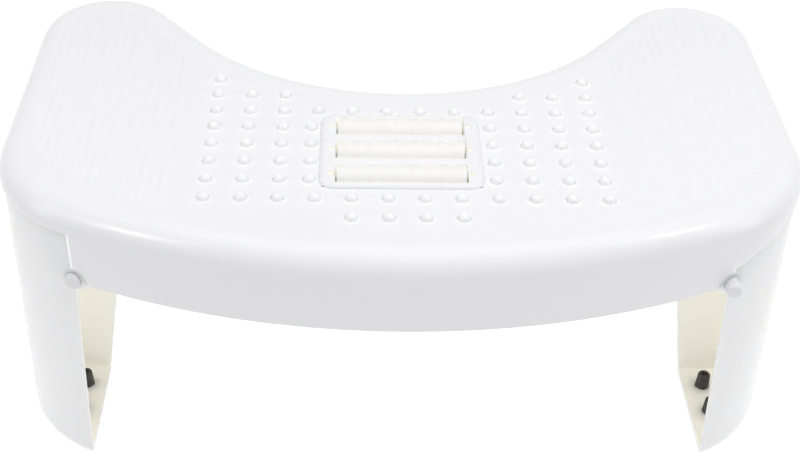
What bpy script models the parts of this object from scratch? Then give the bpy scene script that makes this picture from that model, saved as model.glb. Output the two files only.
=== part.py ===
"""Toilet footstool: a moulded deck on two folding leg panels, with massage nubs and rollers."""
import math

import bmesh
import bpy
from mathutils import Matrix, Vector

MM = 0.001

# Deck outline and height above the floor
deck_width = 420 * MM
deck_depth = 255.5 * MM
deck_top = 176.5 * MM
waist_depth = 153.8 * MM
front_radius = 400 * MM
corner_radius = 70 * MM
lobe_radius = 39.5 * MM
flank_length = 42 * MM
edge_radius = 13 * MM
deck_wall = 3 * MM
skirt_depth = 44.5 * MM
seam_gap = 0.6 * MM
running_gap = 0.3 * MM
cut_overrun = 20 * MM
merge_distance = 0.01 * MM
smooth_angle = math.radians(40)
bevel_angle = math.radians(60)

# Stiffening ribs below the deck
rib_wall = 2.2 * MM
rib_depth = 17 * MM
inner_rib_place = 62 * MM
outer_rib_inset = 104 * MM
cross_rib_inset = 39.75 * MM

# Hinges
pin_inset = 44 * MM
pin_drop = 43.2 * MM
pin_radius = 3.9 * MM
pin_length = 26 * MM
pin_chamfer = 0.6 * MM
ear_radius = 7 * MM
lug_radius = 9 * MM
lug_length = 6.5 * MM
lug_sink = 0.7 * MM
lug_gap = 3.7 * MM
left_pin_stand = 2.5 * MM
right_pin_stand = 6.5 * MM
rear_pin_sink = 0.2 * MM

# Shoulders where the legs meet the skirt
notch_drop = 14.5 * MM
shoulder_low_drop = 33 * MM
shoulder_mid_drop = 22.6 * MM
shoulder_mid_inset = 20 * MM
shoulder_high_inset = 6 * MM

# Legs
leg_inset = 0.6 * MM
leg_wall = 3 * MM
leg_round = 8 * MM
leg_lean = math.radians(1.5)
front_edge_lean = math.radians(2.1)
rear_edge_lean = math.radians(7)
floor_height = 1.8 * MM
floor_edge_offset = 2 * MM
rear_floor_edge_offset = 15.5 * MM
rear_flange_offset = 4 * MM
front_wall_offset = 7.4 * MM
rear_wall_inset = 77.4 * MM
wall_top_drop = 24 * MM
bulge_reach = 6.5 * MM
bulge_drop = 108 * MM
bulge_end_offset = 1 * MM
bulge_end_drop = 70 * MM
rear_wall_edge_offset = 5 * MM
rear_wall_edge_drop = 48 * MM

# Rubber feet
foot_radius = 7 * MM
foot_round = 0.5 * MM
foot_neck_radius = 3.6 * MM
foot_stem_radius = 4.6 * MM
foot_tip_radius = 3.6 * MM
foot_stem_height = 9.2 * MM
foot_stem_round = 1 * MM
front_foot_inset = 27 * MM
rear_foot_inset = 17 * MM
foot_wall_gap = 14.5 * MM
front_foot_pitch = 21.5 * MM
rear_foot_pitch = 18.5 * MM

# Massage nubs
nub_pitch_x = 18.15 * MM
nub_pitch_y = 15.5 * MM
nub_radius = 3.6 * MM
nub_height = 3.2 * MM
nub_sink = 0.2 * MM
nub_row_five_inset = 94.6 * MM
nub_columns = 12
nub_rows = 9
nub_frame_shift = 3.1 * MM

# Ribbed foot pads
pad_inner_inset = 89 * MM
pad_pitch = 5.1 * MM
pad_lines = 16
pad_margin = 17.5 * MM
pad_back_margin = 20 * MM
pad_front_radius = 102 * MM
pad_front_inset = 8 * MM
pad_front_centre_inset = 140.6 * MM
pad_line_width = 3 * MM
pad_line_height = 0.5 * MM
pad_sink = 1 * MM

# Roller frame and rollers
frame_side_margin = 8.4 * MM
frame_end_margin = 3.55 * MM
frame_place_x = -2.2 * MM
frame_inset = 88.85 * MM
frame_rim = 1.5 * MM
frame_rim_round = 0.9 * MM
frame_corner = 8 * MM
frame_seat = 1.6 * MM
frame_floor = 1.8 * MM
slot_side_gap = 0.5 * MM
slot_end_gap = 1 * MM
slot_bar = 5.5 * MM
roller_radius = 7.4 * MM
roller_length = 64.8 * MM
roller_rise = 5 * MM
roller_rings = 9
ring_depth = 0.5 * MM
groove_share = 0.22
axle_radius = 1.2 * MM
axle_bridge = 0.8 * MM
axle_pocket = 2.6 * MM
roller_floor_gap = 0.7 * MM
hook_length = 8 * MM
hook_reach = 1.4 * MM
hook_height = 2 * MM
hook_offset = 22 * MM

# Smoothness: points on each arc and sides of round pieces
front_steps = 12
corner_steps = 9
lobe_steps = 13
waist_steps = 11
edge_steps = 5
ear_steps = 12
leg_front_steps = 3
leg_round_steps = 4
frame_corner_steps = 4
small_round_steps = 2
pin_sides = 20
foot_sides = 16
roller_sides = 16
nub_sides = 8
nub_rings = 6

# Worked out from the sizes above
end_x = deck_width / 2
front_y = -deck_depth / 2
back_y = deck_depth / 2
front_centre_y = front_y + front_radius
corner_x = end_x - corner_radius
corner_y = front_centre_y - math.sqrt((front_radius - corner_radius) ** 2 - corner_x ** 2)
lobe_x = end_x - lobe_radius
lobe_y = back_y - lobe_radius
recess_depth = deck_depth - waist_depth
recess_reach = recess_depth - lobe_radius
waist_radius = (lobe_x ** 2 + recess_reach ** 2 - lobe_radius ** 2 - flank_length ** 2) / (2 * recess_depth)
waist_centre_y = front_y + waist_depth + waist_radius
rim_z = deck_top - skirt_depth
outer_rib_place = end_x - outer_rib_inset
cross_rib_place = front_y + cross_rib_inset
pin_place = end_x - pin_inset
pin_z = deck_top - pin_drop
hole_radius = pin_radius + running_gap
notch_top = deck_top - notch_drop
leg_top = notch_top - seam_gap
notch_edge_place = pin_place - seam_gap
shoulder_mid_place = end_x - shoulder_mid_inset
shoulder_high_place = end_x - shoulder_high_inset
floor_edge_place = pin_place + floor_edge_offset
rear_floor_edge_place = pin_place + rear_floor_edge_offset
floor_middle = floor_height + leg_wall / 2
rear_flange_place = pin_place + rear_flange_offset
front_wall_place = corner_y + front_wall_offset
rear_wall_place = back_y - rear_wall_inset
bulge_place = pin_place - bulge_reach
bulge_end_place = pin_place + bulge_end_offset
rear_wall_edge_place = pin_place + rear_wall_edge_offset
foot_head = floor_height - running_gap
front_foot_place = end_x - front_foot_inset
rear_foot_place = end_x - rear_foot_inset
foot_b_place = front_wall_place - foot_wall_gap
foot_c_place = rear_wall_place + leg_wall + foot_wall_gap
nub_row_five_place = front_y + nub_row_five_inset
pad_inner_place = end_x - pad_inner_inset
pad_front_centre_y = front_y + pad_front_centre_inset
slot_length = roller_length + 2 * slot_end_gap
slot_width = 2 * (roller_radius + slot_side_gap)
slot_pitch = slot_width + slot_bar
frame_width = slot_length + 2 * frame_side_margin
frame_depth = 2 * slot_pitch + slot_width + 2 * frame_end_margin
frame_place_y = front_y + frame_inset
frame_low = deck_top - roller_radius * 2 + roller_rise - roller_floor_gap - frame_floor
roller_z = deck_top + roller_rise - roller_radius


def start_scene():
    for item in list(bpy.data.objects):
        bpy.data.objects.remove(item, do_unlink=True)


def make_collection(name):
    collection = bpy.data.collections.new(name)
    bpy.context.scene.collection.children.link(collection)
    return collection


def make_material(name, colour, roughness, metallic=0.0):
    material = bpy.data.materials.new(name)
    material.use_nodes = True
    shader = material.node_tree.nodes["Principled BSDF"]
    shader.inputs["Base Color"].default_value = colour
    shader.inputs["Roughness"].default_value = roughness
    shader.inputs["Metallic"].default_value = metallic
    return material


def make_object(name, shape, collection, material=None, smooth=True):
    """Turn a bmesh into a named object."""
    bmesh.ops.recalc_face_normals(shape, faces=shape.faces)
    mesh = bpy.data.meshes.new(name)
    shape.to_mesh(mesh)
    shape.free()
    if smooth:
        mesh.shade_smooth()
        mesh.set_sharp_from_angle(angle=smooth_angle)
    item = bpy.data.objects.new(name, mesh)
    collection.objects.link(item)
    if material:
        mesh.materials.append(material)
    return item


def make_cutter(name, shape):
    """A hidden shape that is cut from, or joined to, a piece."""
    item = make_object(name, shape, cutters, smooth=False)
    item.hide_render = True
    item.display_type = "WIRE"
    return item


def use_boolean(item, other, operation):
    step = item.modifiers.new(other.name, "BOOLEAN")
    step.operation = operation
    step.solver = "EXACT"
    step.object = other


def cut(item, name, shape):
    use_boolean(item, make_cutter(name, shape), "DIFFERENCE")


def join(item, name, shape):
    use_boolean(item, make_cutter(name, shape), "UNION")


def box(low, high, shape=None):
    """A box between two corners."""
    shape = shape or bmesh.new()
    low = Vector(low)
    high = Vector(high)
    size = high - low
    place = Matrix.Translation((low + high) / 2) @ Matrix.Diagonal((*size, 1))
    bmesh.ops.create_cube(shape, size=1, matrix=place)
    return shape


def rod(radius, centre, length, axis, sides, shape=None):
    """A cylinder about its centre, along X, Y or Z."""
    shape = shape or bmesh.new()
    turn = {"X": Matrix.Rotation(math.pi / 2, 4, "Y"), "Y": Matrix.Rotation(math.pi / 2, 4, "X"),
            "Z": Matrix.Identity(4)}[axis]
    bmesh.ops.create_cone(shape, cap_ends=True, segments=sides, radius1=radius, radius2=radius,
                          depth=length, matrix=Matrix.Translation(centre) @ turn)
    return shape


def slab(points, low, high, axis):
    """A flat outline, extruded along Z (points are x, y) or along Y (points are x, z)."""
    shape = bmesh.new()
    if axis == "Z":
        corners = [shape.verts.new((x, y, low)) for x, y in points]
        step = Vector((0, 0, high - low))
    else:
        corners = [shape.verts.new((x, low, z)) for x, z in points]
        step = Vector((0, high - low, 0))
    face = shape.faces.new(corners)
    grown = bmesh.ops.extrude_face_region(shape, geom=[face], use_keep_orig=True)
    moved = [part for part in grown["geom"] if isinstance(part, bmesh.types.BMVert)]
    bmesh.ops.translate(shape, verts=moved, vec=step)
    return shape


def arc(centre_x, centre_y, radius, start, end, steps):
    """Points on an arc, angles in radians from +X."""
    turns = [start + (end - start) * step / steps for step in range(steps + 1)]
    return [(centre_x + radius * math.cos(turn), centre_y + radius * math.sin(turn)) for turn in turns]


def front_join_angle():
    """Direction from the front arc's centre to where the corner arc takes over."""
    return math.atan2(corner_y - front_centre_y, corner_x)


def waist_join_angle():
    """Direction from the lobe's centre to where the straight flank leaves it."""
    across = waist_centre_y - lobe_y
    span = math.hypot(lobe_x, across)
    lean = math.acos((lobe_radius + waist_radius) / span)
    return math.atan2(across, -lobe_x) - lean


def end_outline(inset):
    """The outline of the +X end, from the middle of the front round to the middle of the waist."""
    joint = front_join_angle()
    flank = waist_join_angle()
    down = -math.pi / 2
    points = arc(0, front_centre_y, front_radius - inset, down, joint, front_steps)
    points += arc(corner_x, corner_y, corner_radius - inset, joint, 0, corner_steps)[1:]
    points += arc(lobe_x, lobe_y, lobe_radius - inset, 0, flank, lobe_steps)
    points += arc(0, waist_centre_y, waist_radius + inset, flank - math.pi, down, waist_steps)
    return points


def front_line(x, inset):
    """How far forward the outline reaches at x, inset by a wall."""
    if abs(x) < front_radius * math.cos(front_join_angle()):
        return front_centre_y - math.sqrt((front_radius - inset) ** 2 - x ** 2)
    return corner_y - math.sqrt((corner_radius - inset) ** 2 - (abs(x) - corner_x) ** 2)


def back_line(x, inset):
    """How far back the outline reaches at x, inset by a wall."""
    flank = waist_join_angle()
    lobe_start = lobe_x + (lobe_radius - inset) * math.cos(flank)
    waist_end = -(waist_radius + inset) * math.cos(flank)
    place = abs(x)
    if place >= lobe_start:
        return lobe_y + math.sqrt(max(0, (lobe_radius - inset) ** 2 - (place - lobe_x) ** 2))
    if place <= waist_end:
        return waist_centre_y - math.sqrt((waist_radius + inset) ** 2 - place ** 2)
    lobe_side = lobe_y + (lobe_radius - inset) * math.sin(flank)
    return lobe_side - (lobe_start - place) / math.tan(math.pi - flank)


def end_line(y, inset):
    """How far out the +X end of the outline reaches at y, inset by a wall."""
    if y < corner_y:
        return corner_x + math.sqrt((corner_radius - inset) ** 2 - (y - corner_y) ** 2)
    if y > lobe_y:
        return lobe_x + math.sqrt((lobe_radius - inset) ** 2 - (y - lobe_y) ** 2)
    return end_x - inset


def deck_shell():
    """The open top surface with its skirt; the round edge and the wall are modifiers."""
    half = end_outline(0)
    points = half + [(-x, y) for x, y in reversed(half[1:-1])]
    shape = bmesh.new()
    corners = [shape.verts.new((x, y, deck_top)) for x, y in points]
    top = shape.faces.new(corners)
    grown = bmesh.ops.extrude_edge_only(shape, edges=list(top.edges))
    lowered = [part for part in grown["geom"] if isinstance(part, bmesh.types.BMVert)]
    bmesh.ops.translate(shape, verts=lowered, vec=(0, 0, -skirt_depth))
    return shape


def long_rib(place):
    """A rib from the front skirt to the back one; its ends follow the middle of the round edge."""
    middle = edge_radius - deck_wall / 2
    quarter = arc(edge_radius, deck_top - edge_radius, middle, math.pi, math.pi / 2, edge_steps)
    front = front_line(place, 0)
    back = back_line(place, 0)
    low = deck_top - rib_depth
    points = [(front + deck_wall / 2, low)]
    points += [(front + reach, height) for reach, height in quarter]
    points += [(back - reach, height) for reach, height in reversed(quarter)]
    points += [(back - deck_wall / 2, low)]
    shape = slab(points, -rib_wall / 2, rib_wall / 2, "Y")
    turn = Matrix.Rotation(math.pi / 2, 4, "Z")
    bmesh.ops.transform(shape, matrix=Matrix.Translation((place, 0, 0)) @ turn, verts=shape.verts)
    return shape


def cross_rib(place):
    reach = outer_rib_place
    low = deck_top - rib_depth
    high = deck_top - deck_wall / 2
    return box((-reach, place - rib_wall / 2, low), (reach, place + rib_wall / 2, high))


def front_lug_place():
    """The front lugs stand just behind the legs' front flanges."""
    return front_line(pin_place + lug_radius, leg_inset + leg_wall) + lug_gap


def rear_lug_place():
    return back_line(pin_place - lug_radius, leg_inset + leg_wall) - lug_gap - lug_length


def lug(side, place):
    """A hanging plate that holds a hinge pin."""
    x = side * pin_place
    bottom = arc(x, pin_z, lug_radius, math.pi, 2 * math.pi, ear_steps)
    high = deck_top - deck_wall + lug_sink
    points = [(x - lug_radius, high)] + bottom + [(x + lug_radius, high)]
    return slab(points, place, place + lug_length, "Y")


def shoulder(side, drop):
    """The sloping line where the right leg meets the skirt, lowered by a seam."""
    points = [(pin_place - seam_gap, shoulder_low_drop), (shoulder_mid_place, shoulder_mid_drop),
              (shoulder_high_place, notch_drop), (end_x + cut_overrun, notch_drop)]
    return [(side * x, deck_top - depth - drop) for x, depth in points]


def deck_notch(side, sloped):
    """What is cut from the skirt for a leg."""
    low = rim_z - cut_overrun
    far = front_y - cut_overrun
    if not sloped:
        near_x, far_x = sorted((side * notch_edge_place, side * (end_x + cut_overrun)))
        return box((near_x, far, low), (far_x, -far, notch_top))
    points = shoulder(side, 0)
    points += [(side * (end_x + cut_overrun), low), (side * notch_edge_place, low)]
    return slab(points, far, -far, "Y")


def nub_fits(x, y):
    """Is a nub clear of the round edge, the foot pads and the roller frame?"""
    if abs(x) + nub_radius + running_gap > pad_inner_place - pad_line_width / 2:
        return False
    if not front_line(x, edge_radius) < y - nub_radius < y + nub_radius < back_line(x, edge_radius):
        return False
    reach = nub_radius + running_gap
    beside = abs(x - frame_place_x) > frame_width / 2 + reach
    return beside or abs(y - frame_place_y) > frame_depth / 2 + reach


def nub_places():
    """Places of the nubs, row 1 at the back."""
    half = nub_columns // 2
    places = []
    for row in range(1, nub_rows + 1):
        for column in range(nub_columns):
            step = column - half + 0.5
            rank = abs(step)
            shown = {1: rank > half - 1, 2: rank > half - 3, 3: True, 8: True, 9: rank < 2}
            if not shown.get(row, rank > 2):
                continue
            beside_frame = 4 <= row <= 7 and column == 3
            x = step * nub_pitch_x - (nub_frame_shift if beside_frame else 0)
            y = nub_row_five_place + (5 - row) * nub_pitch_y
            if nub_fits(x, y):
                places.append((x, y))
    return places


def nubs():
    shape = bmesh.new()
    for x, y in nub_places():
        place = Matrix.Translation((x, y, deck_top - nub_sink))
        form = Matrix.Diagonal((nub_radius, nub_radius, nub_height + nub_sink, 1))
        bmesh.ops.create_uvsphere(shape, u_segments=nub_sides, v_segments=nub_rings, radius=1,
                                  matrix=place @ form)
    return shape


def pad_front_line(x):
    """Where a foot pad starts at x: an arc of its own, inside the deck's front corner."""
    across = x - (end_x - pad_front_inset - pad_front_radius)
    return pad_front_centre_y - math.sqrt(pad_front_radius ** 2 - across ** 2)


def pad_lines_shape():
    """Raised lines along Y on both foot pads, which stop short of the round edge."""
    shape = bmesh.new()
    for line in range(pad_lines):
        x = pad_inner_place + line * pad_pitch
        if x > end_x - pad_margin:
            break
        front = pad_front_line(x)
        back = back_line(x, pad_back_margin)
        for side in (-1, 1):
            low_x = side * x - pad_line_width / 2
            box((low_x, front, deck_top - pad_sink),
                (low_x + pad_line_width, back, deck_top + pad_line_height), shape)
    return shape


def frame_hole():
    half_x = frame_width / 2 - frame_seat
    half_y = frame_depth / 2 - frame_seat
    low = (frame_place_x - half_x, frame_place_y - half_y, deck_top - cut_overrun)
    high = (frame_place_x + half_x, frame_place_y + half_y, deck_top + cut_overrun)
    return box(low, high)


def make_deck(material):
    deck = make_object("deck", deck_shell(), parts, material)
    edge = deck.modifiers.new("round_edge", "BEVEL")
    edge.width = edge_radius
    edge.segments = edge_steps
    edge.limit_method = "ANGLE"
    edge.angle_limit = bevel_angle
    edge.use_clamp_overlap = False
    wall = deck.modifiers.new("wall", "SOLIDIFY")
    wall.thickness = deck_wall
    wall.offset = -1
    wall.use_even_offset = True
    for side, name in ((-1, "left"), (1, "right")):
        cut(deck, name + "_leg_notch", deck_notch(side, side > 0))
        ear = rod(ear_radius + seam_gap, (side * pin_place, 0, pin_z), deck_depth + cut_overrun, "Y",
                  2 * ear_steps)
        cut(deck, name + "_ear_notch", ear)
    for number, place in enumerate((-outer_rib_place, -inner_rib_place, inner_rib_place, outer_rib_place)):
        join(deck, "long_rib_" + str(number), long_rib(place))
    join(deck, "cross_rib", cross_rib(cross_rib_place))
    for side, name in ((-1, "left"), (1, "right")):
        join(deck, name + "_front_lug", lug(side, front_lug_place()))
        join(deck, name + "_rear_lug", lug(side, rear_lug_place()))
        bore = rod(hole_radius, (side * pin_place, 0, pin_z), deck_depth, "Y", pin_sides)
        cut(deck, name + "_pin_bore", bore)
    cut(deck, "frame_hole", frame_hole())
    join(deck, "nubs", nubs())
    join(deck, "pad_lines", pad_lines_shape())
    return deck


def leg_path(inset):
    """The leg's outline in plan, from its front ear round the end to its rear ear."""
    joint = front_join_angle()
    reach = pin_place - ear_radius
    start = -math.acos(reach / (front_radius - inset))
    last = math.acos((reach - lobe_x) / (lobe_radius - inset))
    points = arc(0, front_centre_y, front_radius - inset, start, joint, leg_front_steps)
    points += arc(corner_x, corner_y, corner_radius - inset, joint, 0, corner_steps)[1:]
    points += arc(lobe_x, lobe_y, lobe_radius - inset, 0, last, lobe_steps)
    return points


def lean_out(shape):
    """Lean the +X leg outwards about its hinge."""
    lean = Matrix.Identity(4)
    lean[0][2] = -math.tan(leg_lean)
    about = Matrix.Translation((0, 0, pin_z))
    bmesh.ops.transform(shape, matrix=about @ lean @ about.inverted(), verts=shape.verts)
    return shape


def to_side(shape, side):
    bmesh.ops.transform(shape, matrix=Matrix.Diagonal((side, 1, 1, 1)), verts=shape.verts)
    return shape


def leg_tray():
    """The leg's outer skin, a floor and the wall round it; its rounding and its wall are modifiers."""
    shape = bmesh.new()
    corners = [shape.verts.new((x, y, floor_height)) for x, y in leg_path(leg_inset)]
    shape.faces.new(corners)
    walled = [shape.edges.get(pair) for pair in zip(corners, corners[1:])]
    grown = bmesh.ops.extrude_edge_only(shape, edges=walled)
    raised = [part for part in grown["geom"] if isinstance(part, bmesh.types.BMVert)]
    bmesh.ops.translate(shape, verts=raised, vec=(0, 0, leg_top - floor_height))
    return shape


def floor_cutter():
    """What is taken off the floor beside its open edge, which steps outwards behind the front cross wall."""
    near = pin_place - ear_radius - cut_overrun
    step_y = front_wall_place + leg_wall / 2
    points = [(near, front_y), (floor_edge_place, front_y), (floor_edge_place, step_y),
              (rear_floor_edge_place, step_y), (rear_floor_edge_place, back_y), (near, back_y)]
    return slab(points, -cut_overrun, floor_height + leg_wall + running_gap, "Z")


def leg_cross_wall(place, edge):
    """A wall across the leg's hollow; edge is its free side, as x and z, from the top down."""
    outer_x = min(end_line(y, leg_inset + leg_wall / 2) for y in (place, place + leg_wall))
    middle = leg_round - leg_wall / 2
    points = arc(outer_x - middle, floor_height + leg_round, middle, -math.pi / 2, 0, leg_round_steps)
    points += [(outer_x, deck_top - wall_top_drop)] + edge
    return slab(points, place, place + leg_wall, "Y")


def front_wall_edge():
    """The front cross wall's free side: it bulges inwards halfway down."""
    top = (bulge_end_place + ear_radius, deck_top - wall_top_drop)
    middle = [(bulge_end_place, deck_top - bulge_end_drop), (bulge_place, deck_top - bulge_drop)]
    return [top] + middle + [(floor_edge_place + running_gap, floor_middle)]


def rear_wall_edge():
    low = (rear_floor_edge_place + running_gap, floor_middle)
    return [(rear_wall_edge_place, deck_top - rear_wall_edge_drop), low]


def edge_cutter(edge_x, lean, low_y, high_y):
    """What is taken off a flange beside its edge, which is upright down to the ear and leans below it."""
    turn = math.acos((edge_x - pin_place) / ear_radius)
    ear = arc(pin_place, pin_z, ear_radius, turn, 2 * math.pi - turn, ear_steps)
    low = -cut_overrun
    high = deck_top + cut_overrun
    near = pin_place - ear_radius - cut_overrun
    foot_x = edge_x + math.tan(lean) * (pin_z - low)
    points = [(near, high), (edge_x, high)] + ear + [(foot_x, low), (near, low)]
    return slab(points, low_y, high_y, "Y")


def shoulder_cutter():
    """What is taken off the right leg above its sloping shoulder."""
    high = deck_top + cut_overrun
    near = pin_place - ear_radius - cut_overrun
    line = shoulder(1, seam_gap)
    points = [(near, line[0][1])] + line + [(line[-1][0], high), (near, high)]
    return slab(points, front_y, back_y, "Y")


def foot_holes():
    shape = bmesh.new()
    for x, y in foot_places():
        rod(foot_neck_radius + running_gap, (x, y, floor_middle), 2 * leg_wall, "Z", foot_sides, shape)
    return shape


def foot_places():
    return [(front_foot_place, foot_b_place - front_foot_pitch), (front_foot_place, foot_b_place),
            (rear_foot_place, foot_c_place), (rear_foot_place, foot_c_place + rear_foot_pitch)]


def make_leg(name, side, sloped, material):
    """A leg panel, built at +X and mirrored for the left side, with its origin on the hinge."""
    leg = make_object(name, to_side(lean_out(leg_tray()), side), parts, material)
    soften = leg.modifiers.new("round_edge", "BEVEL")
    soften.width = leg_round
    soften.segments = leg_round_steps
    soften.limit_method = "ANGLE"
    soften.angle_limit = bevel_angle
    soften.use_clamp_overlap = False
    wall = leg.modifiers.new("wall", "SOLIDIFY")
    wall.thickness = leg_wall
    wall.offset = -1
    wall.use_even_offset = True
    front_wall = leg_cross_wall(front_wall_place, front_wall_edge())
    rear_wall = leg_cross_wall(rear_wall_place, rear_wall_edge())
    front_edge = edge_cutter(pin_place, front_edge_lean, front_y, corner_y)
    rear_edge = edge_cutter(rear_flange_place, rear_edge_lean, lobe_y, back_y)
    cut(leg, name + "_floor_edge", to_side(lean_out(floor_cutter()), side))
    join(leg, name + "_front_wall", to_side(lean_out(front_wall), side))
    join(leg, name + "_rear_wall", to_side(lean_out(rear_wall), side))
    cut(leg, name + "_front_edge", to_side(front_edge, side))
    cut(leg, name + "_rear_edge", to_side(rear_edge, side))
    if sloped:
        cut(leg, name + "_shoulder", to_side(shoulder_cutter(), side))
    bore = rod(hole_radius, (side * pin_place, 0, pin_z), deck_depth, "Y", pin_sides)
    cut(leg, name + "_pin_bore", bore)
    cut(leg, name + "_foot_holes", to_side(foot_holes(), side))
    set_origin(leg, (side * pin_place, 0, pin_z))
    return leg


def set_origin(item, place):
    """Move an object's origin without moving its mesh."""
    item.data.transform(Matrix.Translation(-Vector(place)))
    item.location = place


def make_pin(name, side, outer_y, direction, material):
    """A hinge pin from its shown end inwards."""
    middle = outer_y + direction * pin_length / 2
    pin = make_object(name, rod(pin_radius, (0, 0, 0), pin_length, "Y", pin_sides), parts, material)
    pin.location = (side * pin_place, middle, pin_z)
    soften = pin.modifiers.new("chamfer", "BEVEL")
    soften.width = pin_chamfer
    soften.segments = small_round_steps
    soften.limit_method = "ANGLE"
    soften.angle_limit = bevel_angle
    return pin


def turned(name, profile, sides, material):
    """A turned piece from an outline of radius and height, which runs down its outer side."""
    shape = bmesh.new()
    corners = [shape.verts.new((radius, 0, height)) for radius, height in profile]
    for first, second in zip(corners, corners[1:]):
        shape.edges.new((first, second))
    mesh = bpy.data.meshes.new(name)
    shape.to_mesh(mesh)
    shape.free()
    mesh.materials.append(material)
    item = bpy.data.objects.new(name, mesh)
    parts.objects.link(item)
    turn = item.modifiers.new("turn", "SCREW")
    turn.axis = "Z"
    turn.steps = sides
    turn.render_steps = sides
    turn.use_merge_vertices = True
    turn.merge_threshold = merge_distance
    turn.use_smooth_shade = False
    return item


def foot_profile():
    neck_top = floor_height + leg_wall + running_gap
    stem_top = neck_top + foot_stem_height
    return [(0, stem_top), (foot_tip_radius - foot_stem_round, stem_top),
            (foot_tip_radius, stem_top - foot_stem_round), (foot_stem_radius, neck_top),
            (foot_neck_radius, neck_top), (foot_neck_radius, foot_head), (foot_radius, foot_head),
            (foot_radius, foot_round), (foot_radius - foot_round, 0), (0, 0)]


def make_feet(material):
    for side, name in ((-1, "left"), (1, "right")):
        for letter, (x, y) in zip("abcd", foot_places()):
            foot = turned(name + "_foot_" + letter, foot_profile(), foot_sides, material)
            foot.location = (side * x, y, 0)


def frame_outline(half_x, half_y, corner):
    points = []
    for turn, (sign_x, sign_y) in enumerate(((1, 1), (-1, 1), (-1, -1), (1, -1))):
        centre_x = frame_place_x + sign_x * (half_x - corner)
        centre_y = frame_place_y + sign_y * (half_y - corner)
        start = turn * math.pi / 2
        points += arc(centre_x, centre_y, corner, start, start + math.pi / 2, frame_corner_steps)
    return points


def slot_places():
    return [frame_place_y + step * slot_pitch for step in (1, 0, -1)]


def make_frame(material):
    """The insert that carries the rollers: a rim on the deck and a tray below it."""
    half_x = frame_width / 2
    half_y = frame_depth / 2
    rim_low = deck_top + running_gap
    rim = slab(frame_outline(half_x, half_y, frame_corner), rim_low, rim_low + frame_rim, "Z")
    frame = make_object("roller_frame", rim, parts, material)
    soften = frame.modifiers.new("round_rim", "BEVEL")
    soften.width = frame_rim_round
    soften.segments = small_round_steps
    soften.limit_method = "ANGLE"
    soften.angle_limit = bevel_angle
    tray_x = half_x - frame_seat - running_gap
    tray_y = half_y - frame_seat - running_gap
    join(frame, "frame_tray", box((frame_place_x - tray_x, frame_place_y - tray_y, frame_low),
                                  (frame_place_x + tray_x, frame_place_y + tray_y, rim_low + frame_rim / 2)))
    join(frame, "frame_hooks", frame_hooks(tray_y))
    slots = bmesh.new()
    pockets = bmesh.new()
    bores = bmesh.new()
    pocket_x = slot_length / 2 + axle_bridge
    for place in slot_places():
        box((frame_place_x - slot_length / 2, place - slot_width / 2, frame_low + frame_floor),
            (frame_place_x + slot_length / 2, place + slot_width / 2, deck_top + cut_overrun), slots)
        for side in (-1, 1):
            near = frame_place_x + side * pocket_x
            far = near + side * axle_pocket
            box((min(near, far), place - axle_pocket / 2, roller_z - axle_pocket / 2),
                (max(near, far), place + axle_pocket / 2, deck_top + cut_overrun), pockets)
        rod(axle_radius + running_gap, (frame_place_x, place, roller_z), 2 * pocket_x + axle_pocket, "X",
            pin_sides, bores)
    cut(frame, "frame_slots", slots)
    cut(frame, "frame_pockets", pockets)
    cut(frame, "frame_bores", bores)
    return frame


def frame_hooks(tray_y):
    """Four snap hooks that hold the frame below the deck's wall."""
    shape = bmesh.new()
    high = deck_top - deck_wall - running_gap
    for side in (-1, 1):
        near = frame_place_y + side * (tray_y - deck_wall / 2)
        far = frame_place_y + side * (tray_y + hook_reach)
        for place in (-hook_offset, hook_offset):
            x = frame_place_x + place
            box((x - hook_length / 2, min(near, far), high - hook_height),
                (x + hook_length / 2, max(near, far), high), shape)
    return shape


def roller_profile():
    """A closed outline round the roller's wall: rings outside, a plain bore inside."""
    half = roller_length / 2
    pitch = roller_length / roller_rings
    points = []
    for ring in range(roller_rings):
        top = half - ring * pitch
        low = top - pitch
        points += [(roller_radius - ring_depth, top), (roller_radius, top - pitch * groove_share),
                   (roller_radius, low + pitch * groove_share)]
    points += [(roller_radius - ring_depth, -half)]
    bore = axle_radius + running_gap
    points += [(bore, -half), (bore, half), points[0]]
    return points


def make_rollers(roller_material, axle_material):
    for name, place in zip(("rear", "middle", "front"), slot_places()):
        centre = (frame_place_x, place, roller_z)
        roller = turned(name + "_roller", roller_profile(), roller_sides, roller_material)
        roller.rotation_euler = (0, math.pi / 2, 0)
        roller.location = centre
        length = slot_length + 2 * (axle_bridge + axle_pocket) - 2 * running_gap
        shape = rod(axle_radius, (0, 0, 0), length, "X", pin_sides)
        axle = make_object(name + "_axle", shape, parts, axle_material)
        axle.location = centre


def main():
    white = make_material("white_plastic", (0.88, 0.88, 0.89, 1), 0.25)
    cream = make_material("roller_plastic", (0.86, 0.86, 0.83, 1), 0.35)
    rubber = make_material("dark_rubber", (0.04, 0.04, 0.045, 1), 0.8)
    steel = make_material("steel", (0.6, 0.6, 0.6, 1), 0.3, 1.0)
    make_deck(white)
    make_leg("left_leg", -1, False, white)
    make_leg("right_leg", 1, True, white)
    front = front_line(pin_place, 0)
    back = back_line(pin_place, 0)
    make_pin("left_front_pin", -1, front - left_pin_stand, 1, white)
    make_pin("right_front_pin", 1, front - right_pin_stand, 1, white)
    make_pin("left_rear_pin", -1, back - rear_pin_sink, -1, white)
    make_pin("right_rear_pin", 1, back - rear_pin_sink, -1, white)
    make_feet(rubber)
    make_frame(white)
    make_rollers(cream, steel)


start_scene()
parts = make_collection("toilet_footstool")
cutters = make_collection("cutters")
main()
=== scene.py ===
"""Toilet footstool: a deck on two folding leg panels, with massage nubs, foot pads and rollers."""
import math

import bmesh
import bpy
from bpy.props import FloatProperty, FloatVectorProperty, IntProperty, PointerProperty
from mathutils import Matrix, Vector


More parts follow.
